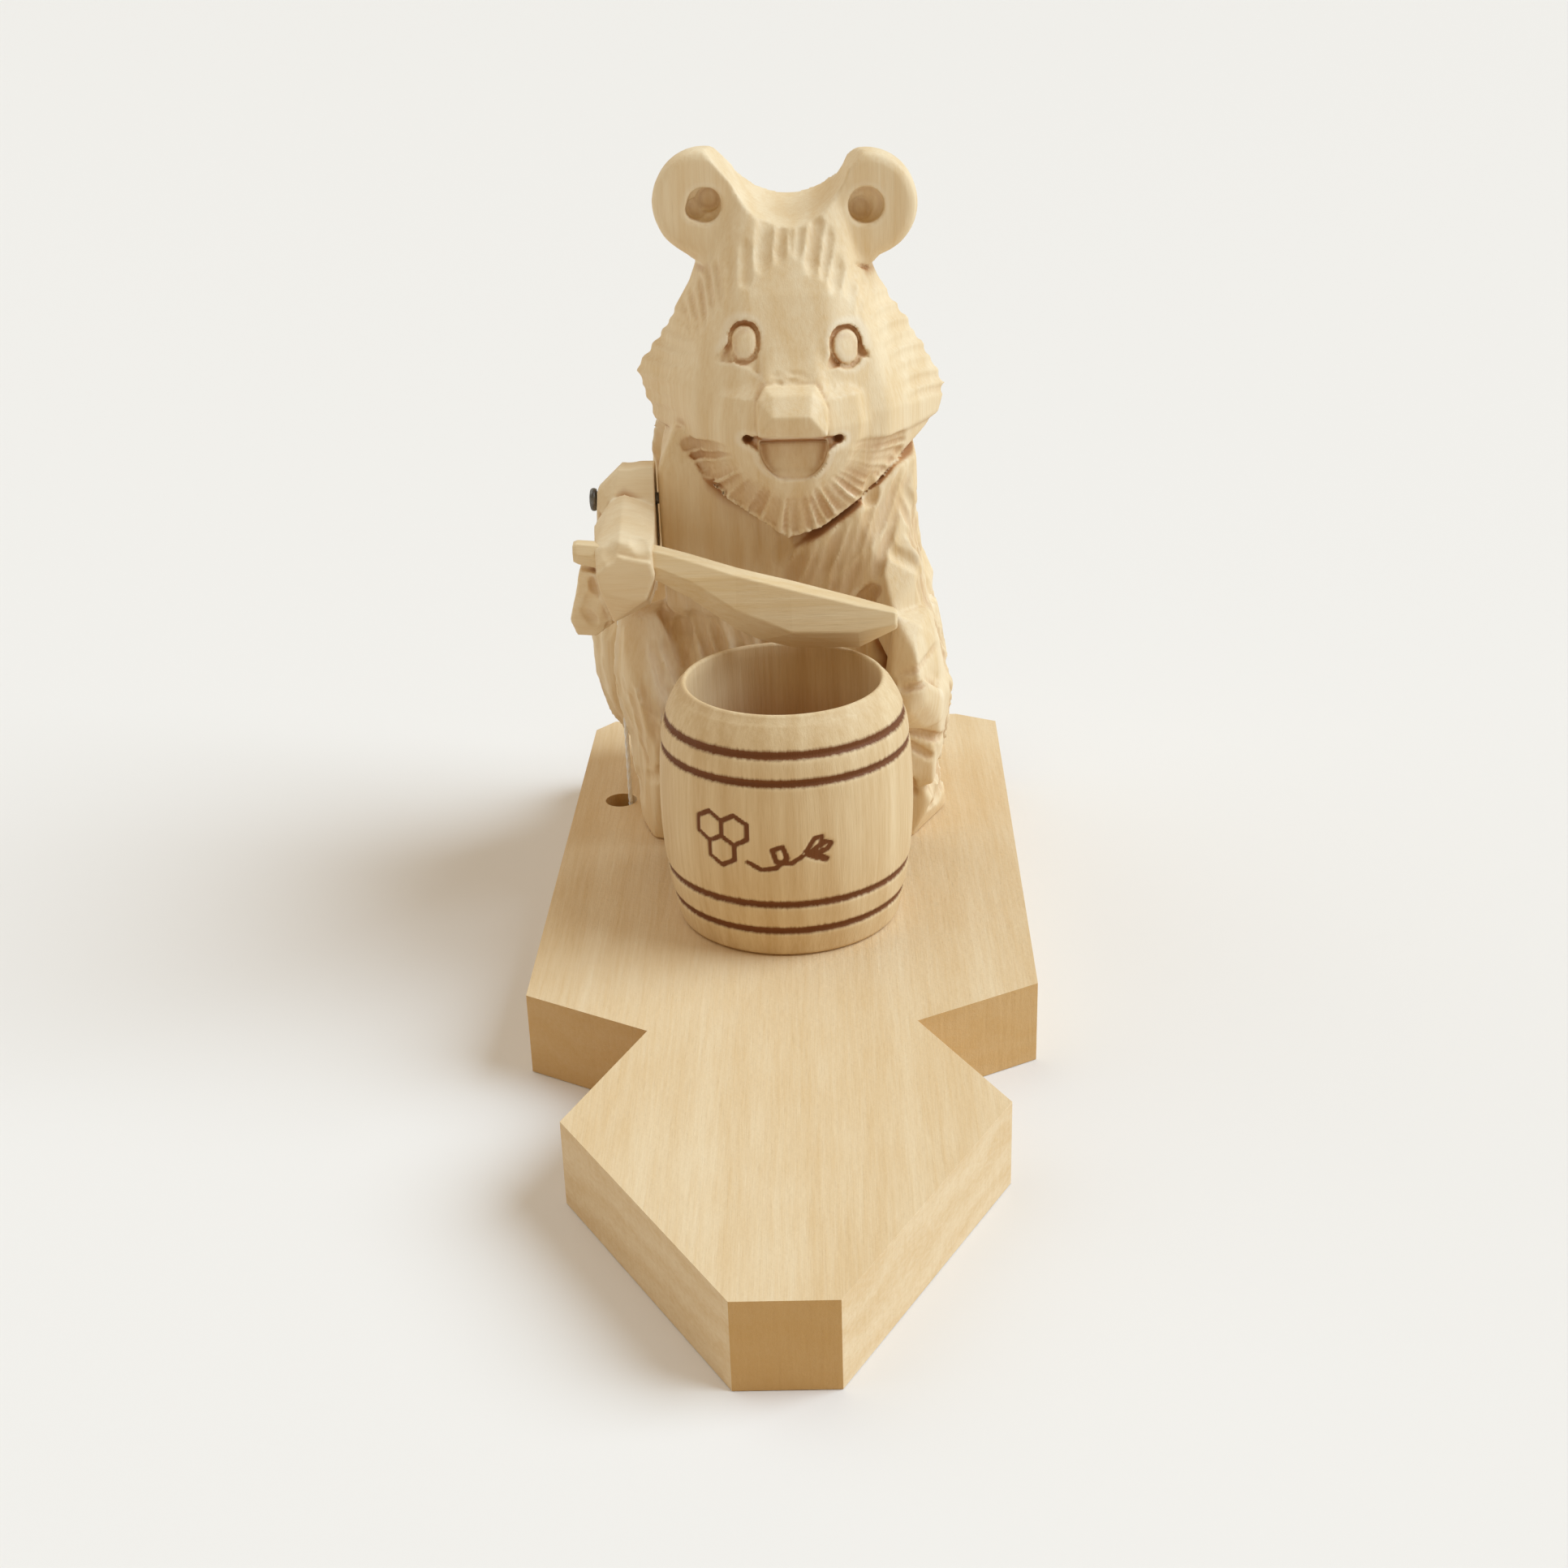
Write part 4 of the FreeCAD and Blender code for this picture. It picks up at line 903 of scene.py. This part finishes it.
arm = Carving(steps((-38, -19.4, 0.3)), steps((38.6, 82, 0.32)), steps((55, 86.6, 0.3)))
ARM = [
    # shoulder and upper arm
    [(-27.2, 57.6, 84.7), (-21.4, 57.8, 84.6), (-21.4, 63.2, 84.4), (-27, 63.4, 84.3), (-28.6, 55.4, 79.8),
     (-21.4, 55, 78.4), (-31.4, 58.2, 80.4), (-31.4, 62, 80.4), (-31.4, 57, 75.4), (-31.4, 64.5, 74.4),
     (-32, 55, 70), (-31.4, 64, 70.4), (-21.4, 66, 69), (-21.4, 52, 64), (-30, 56, 62)],
    # bright upper face of the forearm
    [(-28.7, 55.5, 79.9), (-21.4, 55.6, 78.8), (-21, 49.5, 77), (-20.9, 45, 75.8), (-21.4, 42.2, 74.8),
     (-24.2, 41.7, 74.5), (-26.6, 42.6, 76.2), (-26.4, 54.6, 80.9), (-30.9, 43.6, 74.6), (-31.6, 52, 76.4),
     (-31.6, 54, 66), (-21.4, 54, 64), (-30.6, 41.2, 71), (-21, 41, 70.6)],
    # paw, its blunt front and the slanting cut under it
    [(-30.6, 40.9, 70.8), (-28.9, 40.9, 72.6), (-27.4, 41, 74.2), (-24, 40.9, 72.8), (-21.4, 40.9, 72.9),
     (-20.8, 40.9, 70.5), (-22.5, 40.9, 66.4), (-24.8, 40.9, 66.1), (-30, 40.9, 67.7), (-31.6, 52, 74),
     (-21, 52, 74), (-28.6, 45.8, 60.8), (-24.6, 46.4, 63.2), (-28.6, 54, 58.4), (-22, 54, 63),
     (-31.6, 54, 62), (-22.4, 50, 62.6)],
    # outer edge of the paw with its claws
    [(-33.9, 45.4, 70.6), (-31, 44, 70.2), (-36.1, 45.8, 61.4), (-35.2, 46.2, 58.6), (-32, 46, 58.3),
     (-29, 46.4, 60.4), (-30, 44.2, 66), (-33.8, 54, 71), (-36, 53, 62), (-34.4, 54.6, 57.8),
     (-29.2, 54.6, 57.8), (-29, 56, 68)],
    # tail that the thread pulls
    [(-33.4, 79.2, 73.2), (-27.6, 79.4, 73.2), (-27.2, 79, 69.2), (-33.2, 79, 69), (-31.6, 62, 75.6),
     (-24, 62, 75.6), (-31.6, 62, 68.8), (-24, 62, 68.8), (-32.6, 70, 74), (-26.6, 70, 74.2)],
]
for corners in ARM:
    arm.block(corners, 0.08, 0.06, 4)
arm.guide = arm.field.copy()
strokes(arm, "front", [((-31.6, 69.4), (-31.2, 65.8), 2.2, 0.8), ((-31.9, 66.4), (-33, 62.6), 2.6, 0.5),
                       ((-33.4, 63.6), (-31.8, 60.6), 2.4, 0.7), ((-35.6, 59.8), (-33.2, 58.4), 1.6, 0.5),
                       ((-29.4, 60.8), (-30.4, 58.2), 1.5, 0.5)])
strokes(arm, "left", [((46, 68), (49.5, 59), 2.6, 0.4), ((50, 69), (53, 59), 2.8, 0.35),
                      ((54.5, 75), (56, 64), 3, 0.3), ((70, 72.6), (78.6, 71.4), 2.8, 0.25)])
strokes(arm, "top", [((-23.4, 43.6), (-22.9, 40.6), 3.2, 0.45), ((-28.2, 43.4), (-28, 40.6), 3, 0.3),
                     ((-26, 57.8), (-25.6, 66.5), 4, 0.35), ((-29.5, 72), (-29.6, 79), 3, 0.25)])
hatch(arm, "back", -31, -22, 70, 84, 0.1, 3.4, 8, 0.28)
# the bores for the nail and the thread, as radii, and the width of the saw's cut
PIVOT_BORE, THREAD_BORE, SAW = 1.08, 0.9, 1.44
arm.cut(lambda x, y, z: np.hypot(y - PIVOT_AT[0], z - PIVOT_AT[1]) - PIVOT_BORE + 0 * x)
arm.cut(lambda x, y, z: np.hypot(x - THREAD_AT[0], y - THREAD_AT[1]) - THREAD_BORE + 0 * z,
        (-34, 70, 60), (-27, 77, 80))


def saw_cut(x, y, z):
    """A thin cut under the tail, in which the thread lies when the arm is up."""
    behind = y - THREAD_AT[1]
    return np.maximum(np.maximum(np.abs(x - THREAD_AT[0]) - SAW / 2, -behind), z - 74.2 + 0.58 * behind)


arm.cut(saw_cut, (-34, 72, 60), (-27, 82, 80))
corners, quads = arm.net()
piece("carved_arm", corners, quads, "arm", arm_wood, "right_arm",
      attributes=arm.shade_and_ridge_masks(corners, 0.8))


# ---------------------------------------------------------------- spoon

# seen along its length: back, front edge, ridge, lower edge, under side, back
SPOON = [
    (-34.7, [(46.8, 75.2), (44.4, 75.1), (43.9, 73.9), (44.3, 72.3), (46.8, 72.2), (47.2, 73.8)]),
    (-34, [(47, 75.4), (44.2, 75.4), (43.6, 73.8), (44, 72), (47, 71.9), (47.4, 73.8)]),
    (-20.6, [(45.4, 74.7), (42.8, 74.3), (42, 71.8), (42.6, 69.2), (45.4, 69), (45.9, 71.8)]),
    (-15, [(44.8, 73.2), (42.2, 72.7), (41.2, 69.6), (42.2, 66), (44.8, 65.8), (45.3, 69.6)]),
    (-7.4, [(44, 70.9), (41.4, 70.2), (40.2, 64.4), (41.8, 60.4), (43.8, 60.2), (44.6, 65)]),
    (-3.4, [(43.6, 69.9), (40.9, 69.2), (39.3, 63), (41.3, 58.6), (43.4, 58.4), (44.2, 63.4)]),
    (2, [(43.2, 68.6), (40.1, 67.9), (38.5, 60.8), (40.9, 57.3), (43, 57.2), (43.9, 62.6)]),
    (13.2, [(42.2, 65.6), (39.5, 65), (38.3, 60.6), (40, 57.4), (41.8, 57.3), (42.6, 61.2)]),
    (19.3, [(40.9, 64.1), (39, 63.8), (38.4, 61.9), (39.2, 60.7), (40.6, 60.7), (41.2, 62.2)]),
    (19.7, [(40.5, 63.8), (39.3, 63.6), (38.8, 62), (39.4, 61), (40.3, 61), (40.8, 62.2)]),
]
corners = [(across, back, up) for across, outline in SPOON for back, up in outline]
faces = [tuple(range(6)), tuple(range(len(corners) - 1, len(corners) - 7, -1))]
for row in range(len(SPOON) - 1):
    for side in range(6):
        a, b = row * 6 + side, row * 6 + (side + 1) % 6
        faces.append((b, a, a + 6, b + 6))
spoon = piece("carved_spoon", corners, faces, "arm", spoon_wood, "spoon", smooth=False)
work = bmesh.new()
work.from_mesh(spoon.data)
bmesh.ops.triangulate(work, faces=[face for face in work.faces if len(face.verts) == 4])
bmesh.ops.recalc_face_normals(work, faces=work.faces)
work.to_mesh(spoon.data)
work.free()
bevel(spoon, 0.22, 2, 12)


# ---------------------------------------------------------------- barrel

BARREL = (0.4, 29.7)
AROUND, RISE = 420, 0.3
RING_UPS = (5.1, 10.3, 31.8, 36.3)
BELLY = 119.0          # radius of the curve along the staves
GIRTH = 21.0           # radius at which the drawing is measured


def barrel_side(up):
    """Outer radius at a height above the board: a long belly arc, then a rounder neck."""
    if up <= 34.0:
        return 21.35 - BELLY * (1 - math.sqrt(1 - ((up - 20.5) / BELLY) ** 2)) * (1.44 if up < 20.5 else 1.0)
    fall = (up - 34.0) / 8.1
    return 20.58 - 3.5 * (0.32 * fall + 0.68 * fall ** 2)


profile = [(0.0, 0.0, 0.0), (17.9, 0.0, 0.0), (18.5, 0.15, 0.0)]
for up in np.arange(0.6, 41.0, RISE):
    radius, burn = barrel_side(up), 0.0
    for ring in RING_UPS:
        gap = up - ring
        radius -= 0.5 * math.exp(-(gap / 0.5) ** 2)
        burn = max(burn, min(1.0, 1.35 * math.exp(-((gap - 0.12) / (0.82 if gap > 0 else 0.66)) ** 2)))
    profile.append((radius, up, burn))
profile += [(17.35, 41.2, 0.0), (17.1, 41.75, 0.0), (16.85, 42.05, 0.0), (16.5, 42.15, 0.0),
            (16.2, 42.0, 0.0), (16.05, 41.6, 0.0)]
for share in np.linspace(0.06, 1, 22):
    profile.append((16.05 - 1.25 * share + 0.5 * math.sin(math.pi * share), 41.6 - 31.9 * share, 0.0))
profile += [(14.6, 9.3, 0.0), (14.2, 9.05, 0.0), (9.0, 9.0, 0.0), (4.0, 9.02, 0.0), (0.0, 9.0, 0.0)]
points, faces = lathe([row[:2] for row in profile], AROUND)
burn = np.concatenate([[0.0], np.repeat([row[2] for row in profile[1:-1]], AROUND), [0.0]])
angle = np.arctan2(points[:, 1], points[:, 0])
outer = (np.hypot(points[:, 0], points[:, 1]) > 17.5) & (points[:, 2] > 0.5) & (points[:, 2] < 41)

# A generic burned drawing on the front, in mm round the belly and up: three cells of comb, and a bee
# with the line that it flew.
cell = 2.6
drawing = []
for right, rise in ((0.0, 0.0), (1.732 * cell, 0.0), (0.866 * cell, -1.5 * cell)):
    turn = [math.radians(60 * k + 30) for k in range(7)]
    drawing.append([(-13.0 + right + cell * math.cos(a), 23.5 + rise + cell * math.sin(a)) for a in turn])
drawing += [
    [(-6.2, 18.2), (-4.0, 17.0), (-1.6, 17.4), (0.2, 19.2), (-0.6, 21.2), (-2.2, 20.6), (-1.6, 18.6),
     (0.8, 18.2), (2.6, 19.4)],
    [(3.4, 20.4), (4.6, 22.4), (5.8, 22.6), (5.6, 21.2), (4.2, 20.3)],
    [(4.4, 20.2), (6.4, 21.6), (7.4, 21.2), (6.6, 20.2), (4.6, 19.9)],
    [(3.1, 20.2), (4.2, 19.7), (5.6, 19.2), (6.6, 18.6)],
    [(3.3, 19.7), (4.4, 19.1), (5.6, 18.7), (6.5, 18.4)],
]
across = GIRTH * ((angle + math.pi / 2 + math.pi) % (2 * math.pi) - math.pi)
drawn = np.full(len(points), 9.0)
near = outer & (np.abs(across) < 24)
for line in drawing:
    for (ax, az), (bx, bz) in zip(line, line[1:]):
        u, v = across[near] - ax, points[near, 2] - az
        du, dv = bx - ax, bz - az
        t = np.clip((u * du + v * dv) / (du * du + dv * dv), 0, 1)
        drawn[near] = np.minimum(drawn[near], np.hypot(u - t * du, v - t * dv))
ink = np.clip((0.62 - drawn) / 0.34, 0, 1)
burn = np.maximum(burn, 0.95 * ink)
# hand-turned: the rings wander a little, and the drawn lines are pressed into the wood
waver = 1 + 0.0009 * np.sin(2 * angle + 0.6) + 0.0005 * np.sin(5 * angle)
shrink = np.where(outer, waver - 0.2 * ink / GIRTH, 1.0)
points[:, :2] *= shrink[:, None]
# painted shade inside the barrel, darker further down
deep = np.where((points[:, 2] < 40) & (points[:, 2] > 8) & ~outer, (40 - points[:, 2]) / 36, 0)
points += (*BARREL, BOARD_TOP)
piece("turned_barrel", points, faces, "stand", barrel_wood, "honey_barrel",
      attributes={"burn": burn, "painted_shade": np.clip(1.9 * deep - 0.25, 0, 1), "ridge": np.zeros(len(burn))})


# ---------------------------------------------------------------- board

def cad_copy(name, node, body, material, edge):
    """A copy of a CAD node's mesh with welded corners, whole faces and worn edges."""
    work = bmesh.new()
    work.from_mesh(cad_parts[node].data)
    bmesh.ops.remove_doubles(work, verts=work.verts, dist=0.002 * MM)
    bmesh.ops.dissolve_limit(work, angle_limit=math.radians(1.0), verts=work.verts, edges=work.edges)
    mesh = bpy.data.meshes.new(name)
    work.to_mesh(mesh)
    work.free()
    mesh.materials.clear()
    mesh.materials.append(material)
    thing = bpy.data.objects.new(name, mesh)
    bpy.context.scene.collection.objects.link(thing)
    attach(thing, body)
    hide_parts(node)
    bevel(thing, edge, 3, 35)
    thing.data.polygons.foreach_set("use_smooth", [False] * len(thing.data.polygons))
    return thing


cad_copy("sawn_board", "base_board", "stand", board_wood, 0.45)


# ---------------------------------------------------------------- nails

NAIL = [(0.0, -0.06), (1.1, -0.05), (1.75, 0.1), (1.98, 0.38), (2.0, 0.75), (1.85, 1.12), (1.5, 1.2),
        (1.05, 1.22)]


def nail(name, node, length, place, turn):
    """A wire nail, head first along its own Z, with the grip marks under the head."""
    profile = list(NAIL)
    for mark in range(4):
        up = 1.5 + 0.7 * mark
        profile += [(0.99, up), (0.93, up + 0.2), (0.93, up + 0.35), (0.99, up + 0.5)]
    profile += [(0.99, length - 2.2), (0.0, length)]
    points, faces = lathe([(radius, up + 0.06) for radius, up in profile], 40)
    points = points @ np.array(turn.to_matrix()).T + place
    return piece(name, points, faces, "stand", nail_steel, node)


upright = Matrix.Identity(3).to_quaternion()
sideways = Matrix.Rotation(math.pi / 2, 3, "Y").to_quaternion()
for node in ("barrel_nail", "body_nail_front", "body_nail_rear", "shoulder_nail"):
    low, high = (np.array(corner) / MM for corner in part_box(node))
    middle = (low + high) / 2
    if node == "shoulder_nail":
        nail("pivot_pin", node, high[0] - low[0], (low[0], middle[1], middle[2]), sideways)
    else:
        nail(node + "_wire", node, high[2] - low[2], (middle[0], middle[1], low[2]), upright)


# ---------------------------------------------------------------- thread, knots and ball

THREAD = 0.9
TWIST = 2.2
LOBES = 3


def spline(name, route):
    """A smooth curve with the route's points as its control points."""
    curve = bpy.data.curves.new(name, "CURVE")
    curve.dimensions = "3D"
    curve.resolution_u = 40
    line = curve.splines.new("NURBS")
    line.points.add(len(route) - 1)
    for point, place in zip(line.points, route):
        point.co = (*place, 1.0)
    line.order_u = 3
    line.use_endpoint_u = True
    return bpy.data.objects.new(name, curve)


def centreline(curve):
    """The points that Blender gives for a curve with no bevel."""
    bpy.context.scene.collection.objects.link(curve)
    bpy.context.view_layer.update()
    graph = bpy.context.evaluated_depsgraph_get()
    mesh = bpy.data.meshes.new_from_object(curve.evaluated_get(graph))
    line = np.array([tuple(v.co) for v in mesh.vertices])
    bpy.data.objects.remove(curve)
    return line


def twisted(line, diameter, pitch):
    """A closed tube of plied yarn along a line, in the line's own units."""
    around = 12
    steps_along = np.linalg.norm(np.diff(line, axis=0), axis=1)
    run = np.concatenate([[0], np.cumsum(steps_along)])
    count = max(int(run[-1] / (pitch / 10)), 24)
    even = np.linspace(0, run[-1], count)
    line = np.stack([np.interp(even, run, line[:, part]) for part in range(3)], 1)
    ahead = np.gradient(line, axis=0)
    ahead /= np.linalg.norm(ahead, axis=1, keepdims=True)
    side = np.cross(ahead[0], (0.31, 0.17, 0.93))
    corners = []
    for place, way, far in zip(line, ahead, even):
        side = side - way * side.dot(way)
        side /= np.linalg.norm(side)
        other = np.cross(way, side)
        for turn in range(around):
            angle = 2 * math.pi * turn / around
            phase = LOBES * (angle - 2 * math.pi * far / pitch / LOBES)
            size = diameter / 2 * (0.86 + 0.14 * math.cos(phase))
            corners.append(place + size * (math.cos(angle) * side + math.sin(angle) * other))
    faces = []
    for row in range(count - 1):
        for turn in range(around):
            after = (turn + 1) % around
            a, b = row * around, (row + 1) * around
            faces.append((a + turn, a + after, b + after, b + turn))
    faces.append(tuple(range(around))[::-1])
    faces.append(tuple((count - 1) * around + turn for turn in range(around)))
    return np.array(corners), faces


def knot(name, node, centre, body):
    """An overhand knot pulled tight."""
    turn = np.linspace(0, 2 * math.pi, 72, endpoint=False)
    line = np.stack([np.sin(turn) + 2 * np.sin(2 * turn), np.cos(turn) - 2 * np.cos(2 * turn),
                     -1.3 * np.sin(3 * turn)], 1) * 0.27
    corners, faces = [], []
    for place, before, after in zip(line, np.roll(line, 1, 0), np.roll(line, -1, 0)):
        way = (after - before) / np.linalg.norm(after - before)
        side = np.cross(way, (0.2, 0.1, 0.97))
        side /= np.linalg.norm(side)
        other = np.cross(way, side)
        for part in range(10):
            angle = 2 * math.pi * part / 10
            corners.append(place + 0.43 * (math.cos(angle) * side + math.sin(angle) * other))
    for row in range(72):
        for part in range(10):
            after, other_row = (part + 1) % 10, ((row + 1) % 72) * 10
            faces.append((row * 10 + part, row * 10 + after, other_row + after, other_row + part))
    return piece(name, np.array(corners) + centre, faces, body, thread_cotton, node)


low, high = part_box("thread_upper")
top = high.z / MM
straight = np.array([(*THREAD_AT, up) for up in np.linspace(BOARD_TOP + 0.05, top - 0.1, 60)])
points, faces = twisted(straight, THREAD, TWIST)
upper = piece("pull_thread", points, faces, "stand", thread_cotton, "thread_upper")
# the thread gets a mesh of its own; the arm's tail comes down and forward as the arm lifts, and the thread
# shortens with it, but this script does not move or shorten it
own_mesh(upper)

ROUTE = [
    (-0.0305, 0.0735, 0.0142), (-0.0305, 0.0735, 0.0013), (-0.0305, 0.0920, 0.0013),
    (-0.0305, 0.1140, 0.0012), (-0.0345, 0.1260, 0.00055), (-0.0290, 0.1400, 0.0005),
    (-0.0200, 0.1360, 0.0005), (-0.0195, 0.1220, 0.0005), (-0.0105, 0.1205, 0.0005),
    (-0.0095, 0.1308, 0.0009), (-0.0080, 0.1310, 0.0136), (-0.0010, 0.1310, 0.0140),
]
line = centreline(spline("thread_line", ROUTE))
points, faces = twisted(line / MM, THREAD, TWIST)
lower = piece("ball_thread", points, faces, None, thread_cotton, "thread_lower")
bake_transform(lower)

low, high = (np.array(corner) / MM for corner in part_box("pendulum_ball"))
middle = (low + high) / 2
radius = (high[2] - low[2]) / 2
profile = [(0.0, -radius + 2.2), (0.62, -radius + 1.9), (1.0, -radius + 0.5), (1.35, -radius + 0.12)]
for turn in np.linspace(math.asin(1.7 / radius), math.pi - math.asin(1.7 / radius), 46):
    waver = 0.02 * math.sin(14 * turn)
    profile.append(((radius - 0.02 + waver) * math.sin(turn), -(radius - 0.02 + waver) * math.cos(turn)))
profile += [(1.35, radius - 0.12), (1.0, radius - 0.5), (0.62, radius - 1.9), (0.0, radius - 2.2)]
points, faces = lathe(profile, 72)
points = points @ np.array(Matrix.Rotation(math.pi / 2, 3, "Y")).T + middle
bead = piece("turned_ball", points, faces, "weight", ball_wood, "pendulum_ball")
for name, node, body in (("tail_knot", "arm_knot", "arm"), ("ball_end_knot", "ball_knot", "weight")):
    low, high = (np.array(corner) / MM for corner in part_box(node))
    knot(name, node, (low + high) / 2, body)


# ---------------------------------------------------------------- floor, light and camera

def flat(name, size, height, material):
    mesh = bpy.data.meshes.new(name)
    mesh.from_pydata([(-size, -size, height), (size, -size, height), (size, size, height),
                      (-size, size, height)],
                     [], [(0, 1, 2, 3)])
    mesh.materials.append(material)
    thing = bpy.data.objects.new(name, mesh)
    bpy.context.scene.collection.objects.link(thing)


paper = Finish("paper_floor")
flat("floor", 12.0, -0.0001, paper.finish(Base_Color=(0.81, 0.755, 0.69, 1.0), Roughness=0.9))

world = bpy.data.worlds.new("studio")
bpy.context.scene.world = world
world.use_nodes = True
world.node_tree.nodes["Background"].inputs["Color"].default_value = (1.0, 0.78, 0.49, 1.0)
world.node_tree.nodes["Background"].inputs["Strength"].default_value = 0.41
bpy.context.scene.view_settings.view_transform = "Standard"


def lamp(name, direction, strength, spread, tint):
    """A soft distant lamp that shines from a direction."""
    light = bpy.data.lights.new(name, "SUN")
    light.energy = strength
    light.angle = math.radians(spread)
    light.color = tint
    thing = bpy.data.objects.new(name, light)
    thing.rotation_euler = Vector(direction).to_track_quat("Z", "Y").to_euler()
    bpy.context.scene.collection.objects.link(thing)


lamp("key", (1.0, 0.0, 0.92), 3.55, 46, (0.66, 0.82, 1.0))
lamp("fill", (-0.8, 0.35, 1.0), 1.0, 70, (0.74, 0.87, 1.0))

EYE = (0.0068, -0.2954, 0.1829)
PITCH, YAW, ROLL = (math.radians(turn) for turn in (24.17, -1.20, -1.78))
forward = Vector((math.sin(YAW) * math.cos(PITCH), math.cos(YAW) * math.cos(PITCH), -math.sin(PITCH)))
level = Vector((math.cos(YAW), -math.sin(YAW), 0.0))
above = level.cross(forward)
right = math.cos(ROLL) * level + math.sin(ROLL) * above
up = math.cos(ROLL) * above - math.sin(ROLL) * level
lens = bpy.data.cameras.new("camera")
lens.sensor_width = 36.0
lens.lens = 48.447
lens.clip_start = 0.01
camera = bpy.data.objects.new("camera", lens)
camera.matrix_world = Matrix.Translation(EYE) @ Matrix(
    (right, up, -forward)).transposed().to_4x4()
bpy.context.scene.collection.objects.link(camera)
bpy.context.scene.camera = camera
